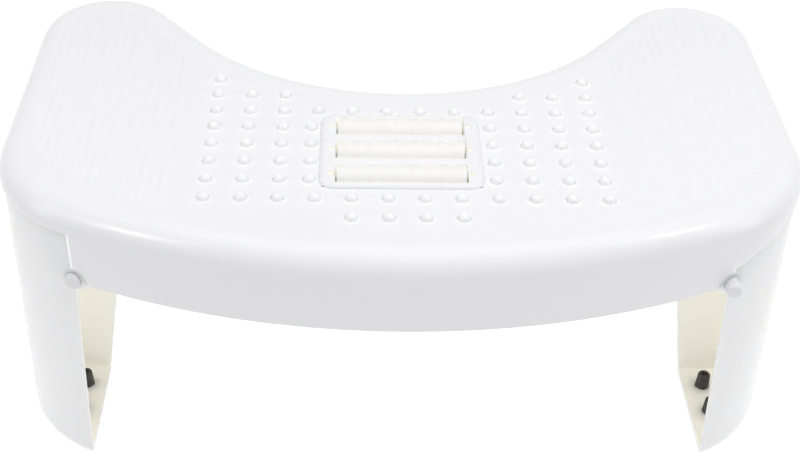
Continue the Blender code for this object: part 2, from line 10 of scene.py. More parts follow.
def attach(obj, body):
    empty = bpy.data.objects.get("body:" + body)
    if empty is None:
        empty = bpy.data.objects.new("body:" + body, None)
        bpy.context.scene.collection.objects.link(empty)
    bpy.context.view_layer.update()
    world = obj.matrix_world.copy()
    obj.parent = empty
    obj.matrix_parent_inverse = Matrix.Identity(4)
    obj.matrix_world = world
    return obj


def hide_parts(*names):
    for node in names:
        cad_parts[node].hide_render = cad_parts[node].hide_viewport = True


bl_info = {
    "name": "Toilet Footstool",
    "version": (1, 0, 0),
    "blender": (4, 5, 0),
    "location": "View3D > Sidebar > Footstool",
    "description": "Models a folding toilet footstool around its packed frame",
    "category": "Add Mesh",
}

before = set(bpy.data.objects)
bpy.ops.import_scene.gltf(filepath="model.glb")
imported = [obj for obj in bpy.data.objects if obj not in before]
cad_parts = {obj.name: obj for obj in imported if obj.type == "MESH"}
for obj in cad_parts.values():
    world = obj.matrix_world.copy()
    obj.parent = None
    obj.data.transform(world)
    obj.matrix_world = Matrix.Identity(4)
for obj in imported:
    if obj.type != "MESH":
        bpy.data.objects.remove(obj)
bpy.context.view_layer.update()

MM = 0.001
UP = Vector((0, 0, 1))
AXES = {"X": (1, 0, 0), "Y": (0, 1, 0), "Z": (0, 0, 1)}
QUARTER = math.pi / 2
WHITE = (1, 1, 1, 1)

# Steps on arcs and sides of round pieces
FRONT_STEPS = 22
CORNER_STEPS = 22
LOBE_STEPS = 28
WAIST_STEPS = 20
EDGE_STEPS = 9
EAR_STEPS = 40
LEG_ROUND_STEPS = 7
FRAME_CORNER_STEPS = 8
NUB_STEPS = 8
NUB_FOOT_STEPS = 5
PAD_RIB_STEPS = 6
RING_STEPS = 8
ROD_SIDES = 40
TURNED_SIDES = 48
NUB_SIDES = 24
SOFT_STEPS = 3
# One step, so that no facet's line crosses the flange's leaning edge
LEG_FRONT_STEPS = 1

# Deck below its skin
FLAT_RING = 0.6 * MM
RIB_WALL = 2.2 * MM
RIB_DEPTH = 17 * MM
INNER_RIB_PLACE = 62 * MM
OUTER_RIB_INSET = 104 * MM
CROSS_RIB_INSET = 39.75 * MM
LUG_RADIUS = 9 * MM
LUG_LENGTH = 6.5 * MM
LUG_SINK = 0.7 * MM
LUG_GAP = 3.7 * MM
CUT_OVERRUN = 20 * MM
RUNNING_GAP = 0.3 * MM
SKIN_TOLERANCE = 0.2 * MM
FLAT_TOLERANCE = 0.05 * MM
MERGE_DISTANCE = 0.002 * MM

# Shoulders where the legs meet the skirt
NOTCH_DROP = 14.5 * MM
SHOULDER_LOW_DROP = 33 * MM
SHOULDER_MID_DROP = 22.6 * MM
SHOULDER_MID_INSET = 20 * MM
SHOULDER_HIGH_INSET = 6 * MM

# Hinge pins
PIN_CHAMFER = 0.6 * MM
PIN_GAP = 0.03 * MM
LEFT_PIN_STAND = 2.5 * MM
RIGHT_PIN_STAND = 6.5 * MM
REAR_PIN_SINK = 0.2 * MM

# Leg panels
FRONT_EDGE_LEAN = math.radians(2.1)
REAR_EDGE_LEAN = math.radians(7)
FLOOR_EDGE_OFFSET = 2 * MM
REAR_FLOOR_EDGE_OFFSET = 15.5 * MM
REAR_FLANGE_OFFSET = 4 * MM
FRONT_WALL_OFFSET = 7.4 * MM
REAR_WALL_INSET = 77.4 * MM
WALL_TOP_DROP = 24 * MM
BULGE_REACH = 6.5 * MM
BULGE_DROP = 108 * MM
BULGE_END_OFFSET = 1 * MM
BULGE_END_DROP = 70 * MM
REAR_WALL_EDGE_OFFSET = 5 * MM
REAR_WALL_EDGE_DROP = 48 * MM

# How far a face of a leg turns outwards, from -1 to 1, to count as its outside, edge or inside
OUTSIDE_FACING = 0.8
EDGE_FACING = -0.5
INSIDE_FACING = 0.3

# Rubber feet
FOOT_ROUND = 0.5 * MM
FOOT_NECK_RADIUS = 3.6 * MM
FOOT_STEM_RADIUS = 4.1 * MM
FOOT_TIP_RADIUS = 3.6 * MM
FOOT_STEM_HEIGHT = 9.2 * MM
FOOT_STEM_ROUND = 1 * MM
FOOT_DIMPLE_RADIUS = 1.7 * MM
FOOT_DIMPLE_DEPTH = 2 * MM
FRONT_FOOT_INSET = 27 * MM
REAR_FOOT_INSET = 17 * MM
FOOT_WALL_GAP = 14.5 * MM
FRONT_FOOT_PITCH = 21.5 * MM
REAR_FOOT_PITCH = 18.5 * MM

# Massage nubs: each row shows the columns between two ranks, counted outwards from the middle
NUB_SINK = 0.05 * MM
NUB_FOOT_SHARE = 0.3
NUB_COLUMNS = 12
NUB_ROWS = 9
NUB_ROW_SPANS = {1: (5, 6), 2: (3, 6), 3: (0, 6), 8: (0, 6), 9: (0, 2)}
NUB_SIDE_SPAN = (2, 6)
NUB_FIFTH_ROW = 5
NUB_FIFTH_ROW_INSET = 94.6 * MM
NUB_FRAME_ROWS = range(4, 8)
NUB_FRAME_COLUMN = 3
NUB_FRAME_SHIFT = 3.1 * MM

# Foot pads
PAD_INNER_INSET = 89 * MM
PAD_MARGIN = 17.5 * MM
PAD_BACK_MARGIN = 20 * MM
PAD_FRONT_RADIUS = 102 * MM
PAD_FRONT_INSET = 8 * MM
PAD_FRONT_CENTRE_INSET = 140.6 * MM
PAD_SINK = 0.05 * MM
PAD_ROUND_SHARE = 0.98
PAD_RIB_PROFILE = 0.32

# Roller frame
FRAME_SIDE_MARGIN = 8.4 * MM
FRAME_END_MARGIN = 3.55 * MM
FRAME_PLACE_X = -2.2 * MM
FRAME_INSET = 88.85 * MM
FRAME_RIM = 1.5 * MM
RIM_GAP = 0.05 * MM
FRAME_RIM_ROUND = 1.6 * MM
FRAME_RIM_PROFILE = 0.33
FRAME_CORNER = 8 * MM
FRAME_SEAT = 1.6 * MM
FRAME_FLOOR = 1.8 * MM
SLOT_ROUND = 0.45 * MM
SLOT_SIDE_GAP = 0.5 * MM
SLOT_END_GAP = 1 * MM
SLOT_BAR = 5.5 * MM
AXLE_BRIDGE = 0.8 * MM
AXLE_POCKET = 2.6 * MM
ROLLER_FLOOR_GAP = 0.7 * MM
HOOK_LENGTH = 8 * MM
HOOK_REACH = 1.4 * MM
HOOK_HEIGHT = 2 * MM
HOOK_OFFSET = 22 * MM
RING_DEPTH = 0.4 * MM
GROOVE_SHARE = 0.2

# Edges that a mould leaves a little round
RIM_ROUND = 0.7 * MM
ROUND_PROFILE = 0.5
SHARP_ANGLE = math.radians(50)
SMOOTH_ANGLE = math.radians(35)

# Finishes: grains are patterns on object coordinates, in repeats to a metre
PLASTIC_IOR = 1.5
PLASTIC_GRAIN = 900
PLASTIC_GRAIN_DETAIL = 3
PLASTIC_GRAIN_DEPTH = 0.001 * MM
PLASTIC_GRAIN_SHARE = 0.1
PLASTIC_GLOSS_SPREAD = 0.03
INNER_ROUGHNESS = 0.5
PIN_ROUGHNESS = 0.4
ROLLER_ROUGHNESS = 0.38
GLOW_TONE = (1, 0.92, 0.7)
GLOW_REACH = 8 * MM
RUBBER_GRAIN = 1400
RUBBER_GRAIN_DETAIL = 4
RUBBER_GRAIN_DEPTH = 0.15 * MM
RUBBER_GRAIN_SHARE = 0.5
RUBBER_SPECK_SHARE = -1.2
RUBBER_ROUGHNESS = (0.55, 0.85)
STEEL_LINES = 3000
STEEL_LINES_DETAIL = 3
STEEL_LINES_DEPTH = 0.02 * MM
STEEL_LINES_SHARE = 0.3
STEEL_STRETCH = (0.05, 1, 1)
STEEL_LINE_SHARE = 0.25
STEEL_ROUGHNESS = (0.28, 0.45)

# Floor and sky
FLOOR_SIZE = 12
FLOOR_COLOUR = (0.33, 0.33, 0.33, 1)
FLOOR_GLOW = 0.92
FLOOR_LIGHT = 0.8
SKY_LEVEL = 0.15

# Lamps: name, place, width, height and power, and whether glossy surfaces show it
LAMP_AIM = (0, 0, 0.12)
LAMPS = (
    ("top_softbox", (0.1, -0.1, 1.9), 1.8, 1.8, 31.5, False),
    ("left_softbox", (-1.42, -0.45, 0.45), 0.4, 0.9, 2, True),
    ("right_softbox", (1.35, -0.65, 0.45), 0.4, 0.9, 2.4, True),
    ("left_strip", (-1.08, -0.91, 1.01), 0.2, 0.4, 2.5, True),
    ("right_strip", (1.05, -0.54, 1.28), 0.2, 0.4, 2.2, True),
)

# Camera, from the photograph's viewing angle
CAMERA_PLACE = (-24.7 * MM, -611.15 * MM, 572.5 * MM)
CAMERA_TILT = math.radians(38)
CAMERA_YAW = math.radians(2.339)
CAMERA_ROLL = math.radians(1.849)
CAMERA_LENS = 60.8
CAMERA_SENSOR = 36


def length(name, description, millimetres):
    """A size that the user can change."""
    return FloatProperty(name=name, description=description, default=millimetres * MM, min=0,
                         precision=4, unit="LENGTH", subtype="DISTANCE")


def colour(name, description, red, green, blue):
    """A colour that the user can change."""
    return FloatVectorProperty(name=name, description=description, default=(red, green, blue, 1),
                               size=4, min=0, max=1, subtype="COLOR")


def amount(name, description, default):
    """A value from 0 to 1 that the user can change."""
    return FloatProperty(name=name, description=description, default=default, min=0, max=1,
                         subtype="FACTOR")


class DeckSizes(bpy.types.PropertyGroup):
    """Sizes of the deck."""
    width: length("Width", "Width of the deck across both lobes", 420)
    depth: length("Depth", "Depth of the deck from its front to its lobes", 255.5)
    top: length("Top", "Height of the deck's flat top above the floor", 176.5)
    waist_depth: length("Waist depth", "Depth of the deck at its middle, to the recess", 153.8)
    front_radius: length("Front radius", "Radius of the long front arc", 400)
    corner_radius: length("Corner radius", "Radius of the two front corners", 70)
    lobe_radius: length("Lobe radius", "Radius of the two lobes at the back", 39.5)
    flank_length: length("Flank length", "Straight stretch between a lobe and the recess", 42)
    edge_radius: length("Edge radius", "Radius of the round edge between top and skirt", 13)
    wall: length("Wall", "Thickness of the moulded wall", 3)
    skirt_depth: length("Skirt depth", "Height of the skirt from its rim to the deck's top", 44.5)
    seam: length("Seam", "Gap between the skirt and the legs", 0.06)


class HingeSizes(bpy.types.PropertyGroup):
    """Sizes of the hinges."""
    pin_inset: length("Pin inset", "Distance of the pins from the deck's ends", 44)
    pin_drop: length("Pin drop", "Distance of the pins below the deck's top", 43.2)
    pin_radius: length("Pin radius", "Radius of a hinge pin", 3.9)
    pin_length: length("Pin length", "Length of a hinge pin", 26)
    ear_radius: length("Ear radius", "Radius of the leg's ears round the pins", 7)


class LegSizes(bpy.types.PropertyGroup):
    """Sizes of the leg panels."""
    inset: length("Inset", "How far the legs stand inside the deck's outline", 0.6)
    wall: length("Wall", "Thickness of the leg's wall", 3)
    lean: FloatProperty(name="Lean", description="How far the legs lean outwards",
                        default=math.radians(1.5), min=0, unit="ROTATION", subtype="ANGLE")
    floor_height: length("Floor height", "Height of the leg's floor plate above the floor", 1.8)
    rounding: length("Rounding", "Radius of the round edge below the leg's wall", 8)
    foot_radius: length("Foot radius", "Radius of a rubber foot", 7)


class TopSizes(bpy.types.PropertyGroup):
    """Sizes of the nubs and the foot pads."""
    nub_pitch_x: length("Nub pitch across", "Distance between nubs from left to right", 18.15)
    nub_pitch_y: length("Nub pitch along", "Distance between nubs from front to back", 15.5)
    nub_radius: length("Nub radius", "Radius of a nub", 3.6)
    nub_height: length("Nub height", "Height of a nub above the deck", 3.2)
    pad_pitch: length("Rib pitch", "Distance between the ribs of a foot pad", 5.1)
    pad_rib_width: length("Rib width", "Width of a foot pad's rib", 4.6)
    pad_rib_height: length("Rib height", "Height of a foot pad's rib above the deck", 0.45)
    pad_ribs: IntProperty(name="Ribs", description="Ribs on each foot pad", default=16, min=1)


class RollerSizes(bpy.types.PropertyGroup):
    """Sizes of the rollers."""
    radius: length("Radius", "Radius of a roller over its rings", 7.4)
    length: length("Length", "Length of a roller", 64.8)
    rise: length("Rise", "How far a roller stands above the deck", 5)
    axle_radius: length("Axle radius", "Radius of a roller's axle", 1.2)
    rings: IntProperty(name="Rings", description="Rings on each roller", default=9, min=1)


class FootstoolFinish(bpy.types.PropertyGroup):
    """Colours and gloss, with painted light: lighter, darker, warmer and glowing copies of the
    white.
    """
    white: colour("White plastic", "Colour of the deck, its pads and its frame", 0.83, 0.83, 0.845)
    # A slightly darker copy of the white for the legs' outside: painted shade that tones their
    # light down.
    legs: colour("Leg plastic", "Colour of the legs' outside", 0.815, 0.82, 0.84)
    # A lighter white for the rounded seam edges: a painted highlight along the seams.
    seams: colour("Seam edges", "Colour of the rounded edges along the seams", 0.95, 0.95, 0.955)
    # A lighter copy of the white for the nubs: painted light on them.
    nubs: colour("Nub plastic", "Colour of the massage nubs", 0.875, 0.875, 0.89)
    pins: colour("Pin plastic", "Colour of the hinge pins", 0.77, 0.77, 0.785)
    # A warmer, lighter copy of the white: painted warm bounce light on the legs' inner walls and in
    # the rollers' slots.
    inside: colour("Inner plastic", "Colour of the legs' inner walls", 0.96, 0.935, 0.85)
    roller: colour("Roller plastic", "Colour of the massage rollers", 0.84, 0.835, 0.82)
    rubber: colour("Rubber", "Colour of the rubber feet", 0.034, 0.032, 0.03)
    steel: colour("Steel", "Colour of the rollers' axles", 0.72, 0.71, 0.68)
    gloss: amount("Plastic roughness", "Roughness of the white plastic", 0.24)
    glow_through: amount("Glow through", "How much of the light passes through the legs", 0.6)
    # The inner faces' emission: a painted glow in place of light let through the legs' walls.
    painted_glow: amount("Inner shine", "Light that the legs let through to their inner side", 0.105)
    # Emission in the rollers' slots: a painted warm glow in place of light let through the deck.
    slot_painted_glow: amount("Slot shine", "Light that the deck lets through to the rollers' slots", 0.18)
    # Emission of the rounded seam edges: the glow of their painted highlight.
    seam_painted_glow: amount("Seam shine", "Light that the rounded edges of the seams let through", 0.19)


class Plan:
    """The footstool's lines, worked out from its sizes."""

    def __init__(self, scene):
        self.deck = deck = scene.footstool_deck
        self.hinge = hinge = scene.footstool_hinge
        self.leg = leg = scene.footstool_leg
        self.tops = scene.footstool_top
        self.roller = roller = scene.footstool_roller
        self.end_x = deck.width / 2
        self.front_y = -deck.depth / 2
        self.back_y = deck.depth / 2
        self.front_centre_y = self.front_y + deck.front_radius
        self.corner_x = self.end_x - deck.corner_radius
        corner_swing = deck.front_radius - deck.corner_radius
        self.corner_y = self.front_centre_y - math.sqrt(corner_swing ** 2 - self.corner_x ** 2)
        self.lobe_x = self.end_x - deck.lobe_radius
        self.lobe_y = self.back_y - deck.lobe_radius
        recess = deck.depth - deck.waist_depth
        reach = recess - deck.lobe_radius
        squares = self.lobe_x ** 2 + reach ** 2 - deck.lobe_radius ** 2 - deck.flank_length ** 2
        self.waist_radius = squares / (2 * recess)
        self.waist_centre_y = self.front_y + deck.waist_depth + self.waist_radius
        self.joint = math.atan2(self.corner_y - self.front_centre_y, self.corner_x)
        across = self.waist_centre_y - self.lobe_y
        lean = math.acos((deck.lobe_radius + self.waist_radius) / math.hypot(self.lobe_x, across))
        self.flank = math.atan2(across, -self.lobe_x) - lean
        self.rim_z = deck.top - deck.skirt_depth
        self.pin_x = self.end_x - hinge.pin_inset
        self.pin_z = deck.top - hinge.pin_drop
        self.bore = hinge.pin_radius + PIN_GAP
        self.notch_top = deck.top - NOTCH_DROP
        self.leg_top = self.notch_top - deck.seam
        self.leg_tan = math.tan(leg.lean)
        self.floor_edge = self.pin_x + FLOOR_EDGE_OFFSET
        self.rear_floor_edge = self.pin_x + REAR_FLOOR_EDGE_OFFSET
        self.plate_middle = leg.floor_height + leg.wall / 2
        self.front_wall_y = self.corner_y + FRONT_WALL_OFFSET
        self.rear_wall_y = self.back_y - REAR_WALL_INSET
        self.nub_fifth_row = self.front_y + NUB_FIFTH_ROW_INSET
        self.pad_inner = self.end_x - PAD_INNER_INSET
        self.slot_length = roller.length + 2 * SLOT_END_GAP
        self.slot_width = 2 * (roller.radius + SLOT_SIDE_GAP)
        self.slot_pitch = self.slot_width + SLOT_BAR
        self.frame_width = self.slot_length + 2 * FRAME_SIDE_MARGIN
        self.frame_depth = 2 * self.slot_pitch + self.slot_width + 2 * FRAME_END_MARGIN
        self.frame_y = self.front_y + FRAME_INSET
        self.frame_low = deck.top - 2 * roller.radius + roller.rise - ROLLER_FLOOR_GAP - FRAME_FLOOR
        self.roller_z = deck.top + roller.rise - roller.radius

    def front_line(self, x, inset):
        """How far forward the outline reaches at x, inset by a wall."""
        deck = self.deck
        if abs(x) < deck.front_radius * math.cos(self.joint):
            return self.front_centre_y - math.sqrt((deck.front_radius - inset) ** 2 - x ** 2)
        reach = (deck.corner_radius - inset) ** 2 - (abs(x) - self.corner_x) ** 2
        return self.corner_y - math.sqrt(max(0, reach))

    def back_line(self, x, inset):
        """How far back the outline reaches at x, inset by a wall."""
        radius = self.deck.lobe_radius - inset
        lobe_start = self.lobe_x + radius * math.cos(self.flank)
        waist = self.waist_radius + inset
        waist_end = -waist * math.cos(self.flank)
        place = abs(x)
        if place >= lobe_start:
            return self.lobe_y + math.sqrt(max(0, radius ** 2 - (place - self.lobe_x) ** 2))
        if place <= waist_end:
            return self.waist_centre_y - math.sqrt(waist ** 2 - place ** 2)
        lobe_side = self.lobe_y + radius * math.sin(self.flank)
        return lobe_side - (lobe_start - place) / math.tan(math.pi - self.flank)

    def end_line(self, y, inset):
        """How far out the +X end reaches at y, inset by a wall."""
        deck = self.deck
        if y < self.corner_y:
            reach = (deck.corner_radius - inset) ** 2 - (y - self.corner_y) ** 2
            return self.corner_x + math.sqrt(max(0, reach))
        if y > self.lobe_y:
            reach = (deck.lobe_radius - inset) ** 2 - (y - self.lobe_y) ** 2
            return self.lobe_x + math.sqrt(max(0, reach))
        return self.end_x - inset

    def on_skin(self, point):
        """Is a point of the skirt on its outer side?"""
        x, y = abs(point.x), point.y
        gaps = (y - self.front_line(x, 0), y - self.back_line(x, 0), x - self.end_line(y, 0))
        return min(abs(gap) for gap in gaps) < SKIN_TOLERANCE

    def half_outline(self, z):
        """The line of the +X half of the deck's outline, from the front to the recess."""
        turn = self.flank - math.pi
        waist_start = (self.waist_radius * math.cos(turn),
                       self.waist_centre_y + self.waist_radius * math.sin(turn), z)
        return [
            (0, self.front_y, z),
            ((0, self.front_centre_y, z), "Z", self.joint + QUARTER, FRONT_STEPS),
            ((self.corner_x, self.corner_y, z), "Z", -self.joint, CORNER_STEPS),
            (self.end_x, self.lobe_y, z),
            ((self.lobe_x, self.lobe_y, z), "Z", self.flank, LOBE_STEPS),
            waist_start,
            ((0, self.waist_centre_y, z), "Z", QUARTER - self.flank, WAIST_STEPS),
        ]

    def leg_outline(self, inset, ear_x, z):
        """The line of a leg's outline, from its front ear round the end to its rear ear."""
        deck = self.deck
        start = -math.acos(ear_x / (deck.front_radius - inset))
        last = math.acos((ear_x - self.lobe_x) / (deck.lobe_radius - inset))
        return [
            (ear_x, self.front_line(ear_x, inset), z),
            ((0, self.front_centre_y, z), "Z", self.joint - start, LEG_FRONT_STEPS),
            ((self.corner_x, self.corner_y, z), "Z", -self.joint, CORNER_STEPS),
            (self.end_x - inset, self.lobe_y, z),
            ((self.lobe_x, self.lobe_y, z), "Z", last, LOBE_STEPS),
        ]

    def shoulder(self, drop):
        """The sloping line where the right leg meets the skirt, lowered by a seam."""
        points = [(self.pin_x - self.deck.seam, SHOULDER_LOW_DROP),
                  (self.end_x - SHOULDER_MID_INSET, SHOULDER_MID_DROP),
                  (self.end_x - SHOULDER_HIGH_INSET, NOTCH_DROP),
                  (self.end_x + CUT_OVERRUN, NOTCH_DROP)]
        return [(x, self.deck.top - depth - drop) for x, depth in points]

    def foot_places(self):
        """Places of the +X leg's four feet, from the front to the back."""
        front_x = self.end_x - FRONT_FOOT_INSET
        rear_x = self.end_x - REAR_FOOT_INSET
        second_y = self.front_wall_y - FOOT_WALL_GAP
        third_y = self.rear_wall_y + self.leg.wall + FOOT_WALL_GAP
        return [(front_x, second_y - FRONT_FOOT_PITCH), (front_x, second_y),
                (rear_x, third_y), (rear_x, third_y + REAR_FOOT_PITCH)]

    def slot_places(self):
        """Places of the three slots, from the rear to the front."""
        return [self.frame_y + step * self.slot_pitch for step in (1, 0, -1)]

    def nub_fits(self, x, y):
        """Is a nub clear of the round edge, the foot pads and the roller frame?"""
        radius = self.tops.nub_radius
        reach = radius + RUNNING_GAP
        if abs(x) + reach > self.pad_inner - self.tops.pad_rib_width / 2:
            return False
        edge = self.deck.edge_radius
        if not self.front_line(x, edge) < y - radius < y + radius < self.back_line(x, edge):
            return False
        beside = abs(x - FRAME_PLACE_X) > self.frame_width / 2 + reach
        return beside or abs(y - self.frame_y) > self.frame_depth / 2 + reach

    def nub_places(self):
        """Places of the nubs, row 1 at the back."""
        places = []
        for row in range(1, NUB_ROWS + 1):
            near, far = NUB_ROW_SPANS.get(row, NUB_SIDE_SPAN)
            for column in range(NUB_COLUMNS):
                step = column - (NUB_COLUMNS - 1) / 2
                beside_frame = row in NUB_FRAME_ROWS and column == NUB_FRAME_COLUMN
                x = step * self.tops.nub_pitch_x - (NUB_FRAME_SHIFT if beside_frame else 0)
                y = self.nub_fifth_row + (NUB_FIFTH_ROW - row) * self.tops.nub_pitch_y
                if near < abs(step) < far and self.nub_fits(x, y):
                    places.append((x, y))
        return places

    def pad_front_line(self, x):
        """Where a foot pad starts at x: an arc of its own, inside the deck's front corner."""
        across = x - (self.end_x - PAD_FRONT_INSET - PAD_FRONT_RADIUS)
        centre_y = self.front_y + PAD_FRONT_CENTRE_INSET
        return centre_y - math.sqrt(PAD_FRONT_RADIUS ** 2 - across ** 2)


def pick(item):
    """Leave edit mode and pick one object."""
    if bpy.context.object and bpy.context.object.mode != "OBJECT":
        bpy.ops.object.mode_set(mode="OBJECT")
    bpy.ops.object.select_all(action="DESELECT")
    if item:
        item.select_set(True)
        bpy.context.view_layer.objects.active = item


def edit(item):
    """Open a piece in edit mode with all of it selected."""
    pick(item)
    bpy.ops.object.mode_set(mode="EDIT")
    bpy.ops.mesh.select_all(action="SELECT")


def leave():
    """Back to object mode."""
    bpy.ops.object.mode_set(mode="OBJECT")
    return bpy.context.object


def choose(kind, test):
    """In edit mode, select the points, edges or faces that pass a test."""
    bpy.ops.mesh.select_mode(type=kind)
    bpy.ops.mesh.select_all(action="DESELECT")
    shape = bmesh.from_edit_mesh(bpy.context.object.data)
    found = {"VERT": shape.verts, "EDGE": shape.edges, "FACE": shape.faces}[kind]
    found = [part for part in found if test(part)]
    for part in found:
        part.select_set(True)
    bmesh.update_edit_mesh(bpy.context.object.data)
    return len(found)


def at_height(z):
    """A test for points, edges and faces that lie flat at a height."""
    def test(part):
        points = [part] if isinstance(part, bmesh.types.BMVert) else part.verts
        return all(abs(point.co.z - z) < FLAT_TOLERANCE for point in points)
    return test


def is_sharp(edge):
    """Do the two faces of an edge meet at a sharp angle?"""
    return len(edge.link_faces) == 2 and edge.calc_face_angle(0) > SHARP_ANGLE


def new_piece():
    """The new object, its place put into its mesh."""
    bpy.ops.object.transform_apply(location=True, rotation=True, scale=True)
    return bpy.context.object


def block(low, high):
    """A box between two corners."""
    low = Vector(low)
    high = Vector(high)
    pick(None)
    bpy.ops.mesh.primitive_cube_add(size=1, location=(low + high) / 2, scale=high - low)
    return new_piece()


def upright_block(x, y, half_x, half_y, low, high):
    """A box about a place, between two heights."""
    return block((x - half_x, y - half_y, low), (x + half_x, y + half_y, high))


def rod(radius, centre, reach, axis, sides=ROD_SIDES):
    """A cylinder about its centre, along X, Y or Z."""
    turn = {"X": (0, QUARTER, 0), "Y": (QUARTER, 0, 0), "Z": (0, 0, 0)}[axis]
    pick(None)
    bpy.ops.mesh.primitive_cylinder_add(vertices=sides, radius=radius, depth=reach,
                                        location=centre, rotation=turn)
    return new_piece()


def soft_rod(radius, centre, reach, axis, rounding, sides=ROD_SIDES):
    """A cylinder with rounded ends."""
    item = rod(radius, centre, reach, axis, sides)
    along = "XYZ".index(axis)

    def at_end(edge):
        beyond = abs(sum(point.co[along] - centre[along] for point in edge.verts))
        return abs(beyond - reach) < SKIN_TOLERANCE
    edit(item)
    soften_edges(rounding, SOFT_STEPS, at_end)
    return leave()


def draw(line):
    """Draw a line in edit mode: a point, then points, or an arc's centre, axis, angle and steps."""
    start, *moves = line
    pick(None)
    bpy.ops.mesh.primitive_plane_add(size=MM, location=start)
    new_piece()
    bpy.ops.object.mode_set(mode="EDIT")
    bpy.ops.mesh.select_mode(type="VERT")
    bpy.ops.mesh.select_all(action="SELECT")
    bpy.ops.mesh.merge(type="CENTER")
    place = Vector(start)
    for move in moves:
        if len(move) == 3:
            step = Vector(move) - place
            extrude(step)
            place += step
        else:
            centre, axis, angle, steps = move
            bpy.ops.mesh.spin(steps=steps, angle=-angle, center=centre, axis=AXES[axis])
            place = Vector(centre) + Matrix.Rotation(angle, 3, axis) @ (place - Vector(centre))
    bpy.ops.mesh.select_all(action="SELECT")


def extrude(step):
    """In edit mode, extrude what is selected by a step."""
    bpy.ops.mesh.extrude_region_move(TRANSFORM_OT_translate={"value": step})


def merge_doubles():
    """In edit mode, merge the points that lie on each other."""
    bpy.ops.mesh.remove_doubles(threshold=MERGE_DISTANCE)


def tidy_skin():
    """In edit mode, merge doubles and point all faces outwards."""
    bpy.ops.mesh.select_all(action="SELECT")
    merge_doubles()
    bpy.ops.mesh.normals_make_consistent(inside=False)


def slab(line, depth):
    """A flat outline, filled and extruded by a step."""
    draw(line)
    merge_doubles()
    bpy.ops.mesh.edge_face_add()
    extrude(depth)
    tidy_skin()
    return leave()


def turned(line, centre, axis, sides=TURNED_SIDES):
    """A turned piece from its profile."""
    draw(line)
    bpy.ops.mesh.spin(steps=sides, angle=2 * math.pi, center=centre, axis=AXES[axis])
    tidy_skin()
    return leave()


def add_step(item, kind):
    """Add a modifier to a piece."""
    pick(item)
    bpy.ops.object.modifier_add(type=kind)
    return item.modifiers[-1]


def keep_step(item):
    """Apply a piece's last modifier."""
    pick(item)
    bpy.ops.object.modifier_apply(modifier=item.modifiers[-1].name)


def combine(item, other, operation):
    """Join a helper to a piece, or cut it away, and remove the helper."""
    step = add_step(item, "BOOLEAN")
    step.operation = operation
    step.solver = "EXACT"
    step.object = other
    keep_step(item)
    bpy.data.objects.remove(other, do_unlink=True)


def join(item, *others):
    """Join helpers to a piece."""
    for other in others:
        combine(item, other, "UNION")


def cut(item, *others):
    """Cut helpers away from a piece."""
    for other in others:
        combine(item, other, "DIFFERENCE")


def thicken(item, wall):
    """Give an open skin its wall, inwards."""
    step = add_step(item, "SOLIDIFY")
    step.thickness = wall
    step.offset = -1
    step.use_even_offset = True
    keep_step(item)


def mirrored(item):
    """Mirror a piece for the other side."""
    edit(item)
    bpy.ops.transform.mirror(constraint_axis=(True, False, False), center_override=(0, 0, 0))
    bpy.ops.mesh.flip_normals()
    leave()


def copy_of(item, step=(0, 0, 0)):
    """A copy with a mesh of its own, moved by a step."""
    pick(item)
    bpy.ops.object.duplicate(linked=False)
    bpy.ops.transform.translate(value=step)
    return new_piece()


def gather(items):
    """Make one piece of several that don't touch."""
    pick(items[0])
    for item in items:
        item.select_set(True)
    bpy.ops.object.join()
    return bpy.context.object


def soften_edges(width, steps, test, profile=ROUND_PROFILE):
    """In edit mode, round the edges that pass a test; gives the new faces' numbers."""
    if not choose("EDGE", test):
        raise RuntimeError("no edge to round")
    bpy.ops.mesh.bevel(offset=width, segments=steps, profile=profile, affect="EDGES",
                       clamp_overlap=False)
    shape = bmesh.from_edit_mesh(bpy.context.object.data)
    return {face.index for face in shape.faces if face.select}


def dress(item, names, tests):
    """In edit mode, give a piece its finishes, each after the first where its test holds."""
    for name in names:
        item.data.materials.append(material_named(name))
    for index, test in enumerate(tests):
        choose("FACE", test)
        item.active_material_index = index + 1
        bpy.ops.object.material_slot_assign()


def finish(item, name, nodes, material=None, body="deck_body"):
    """Name a piece, shade it, give it a finish if it has none and hang it on its body."""
    edit(item)
    merge_doubles()
    leave()
    pick(item)
    bpy.ops.object.shade_smooth_by_angle(angle=SMOOTH_ANGLE)
    item.name = name
    item.data.name = name
    if material:
        item.data.materials.append(material_named(material))
    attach(item, body)
    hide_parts(*nodes)


def new_material(name):
    """A material with its shader, and a pattern's place in it."""
    material = bpy.data.materials.new(name)
    material.use_nodes = True
    tree = material.node_tree
    place = tree.nodes.new("ShaderNodeTexCoord").outputs["Object"]
    return material, tree.nodes, tree.links, tree.nodes["Principled BSDF"], place


def fill(node, values):
    """Set a node's sockets by their names."""
    for name, value in values.items():
        node.inputs[name].default_value = value
    return node


def noise(nodes, links, place, scale, detail):
    """A noise pattern on object coordinates."""
    pattern = fill(nodes.new("ShaderNodeTexNoise"), {"Scale": scale, "Detail": detail})
    links.new(place, pattern.inputs["Vector"])
    return pattern.outputs["Fac"]


def spread(nodes, links, value, low, high):
    """Spread a pattern between two values."""
    step = fill(nodes.new("ShaderNodeMapRange"), {"To Min": low, "To Max": high})
    links.new(value, step.inputs["Value"])
    return step.outputs["Result"]


def tint(nodes, links, value, first, second):
    """Mix two colours by a pattern."""
    mix = nodes.new("ShaderNodeMix")
    mix.data_type = "RGBA"
    fill(mix, {"A": first, "B": second})
    links.new(value, mix.inputs["Factor"])
    return mix.outputs["Result"]


def bump(nodes, links, value, shader, distance, strength):
    """Raise a shader's surface by a pattern."""
    step = fill(nodes.new("ShaderNodeBump"), {"Distance": distance, "Strength": strength})
    links.new(value, step.inputs["Height"])
    links.new(step.outputs["Normal"], shader.inputs["Normal"])


def shaded(tone, share):
    """A colour made darker by a share."""
    return (*(part * (1 - share) for part in tone[:3]), 1)


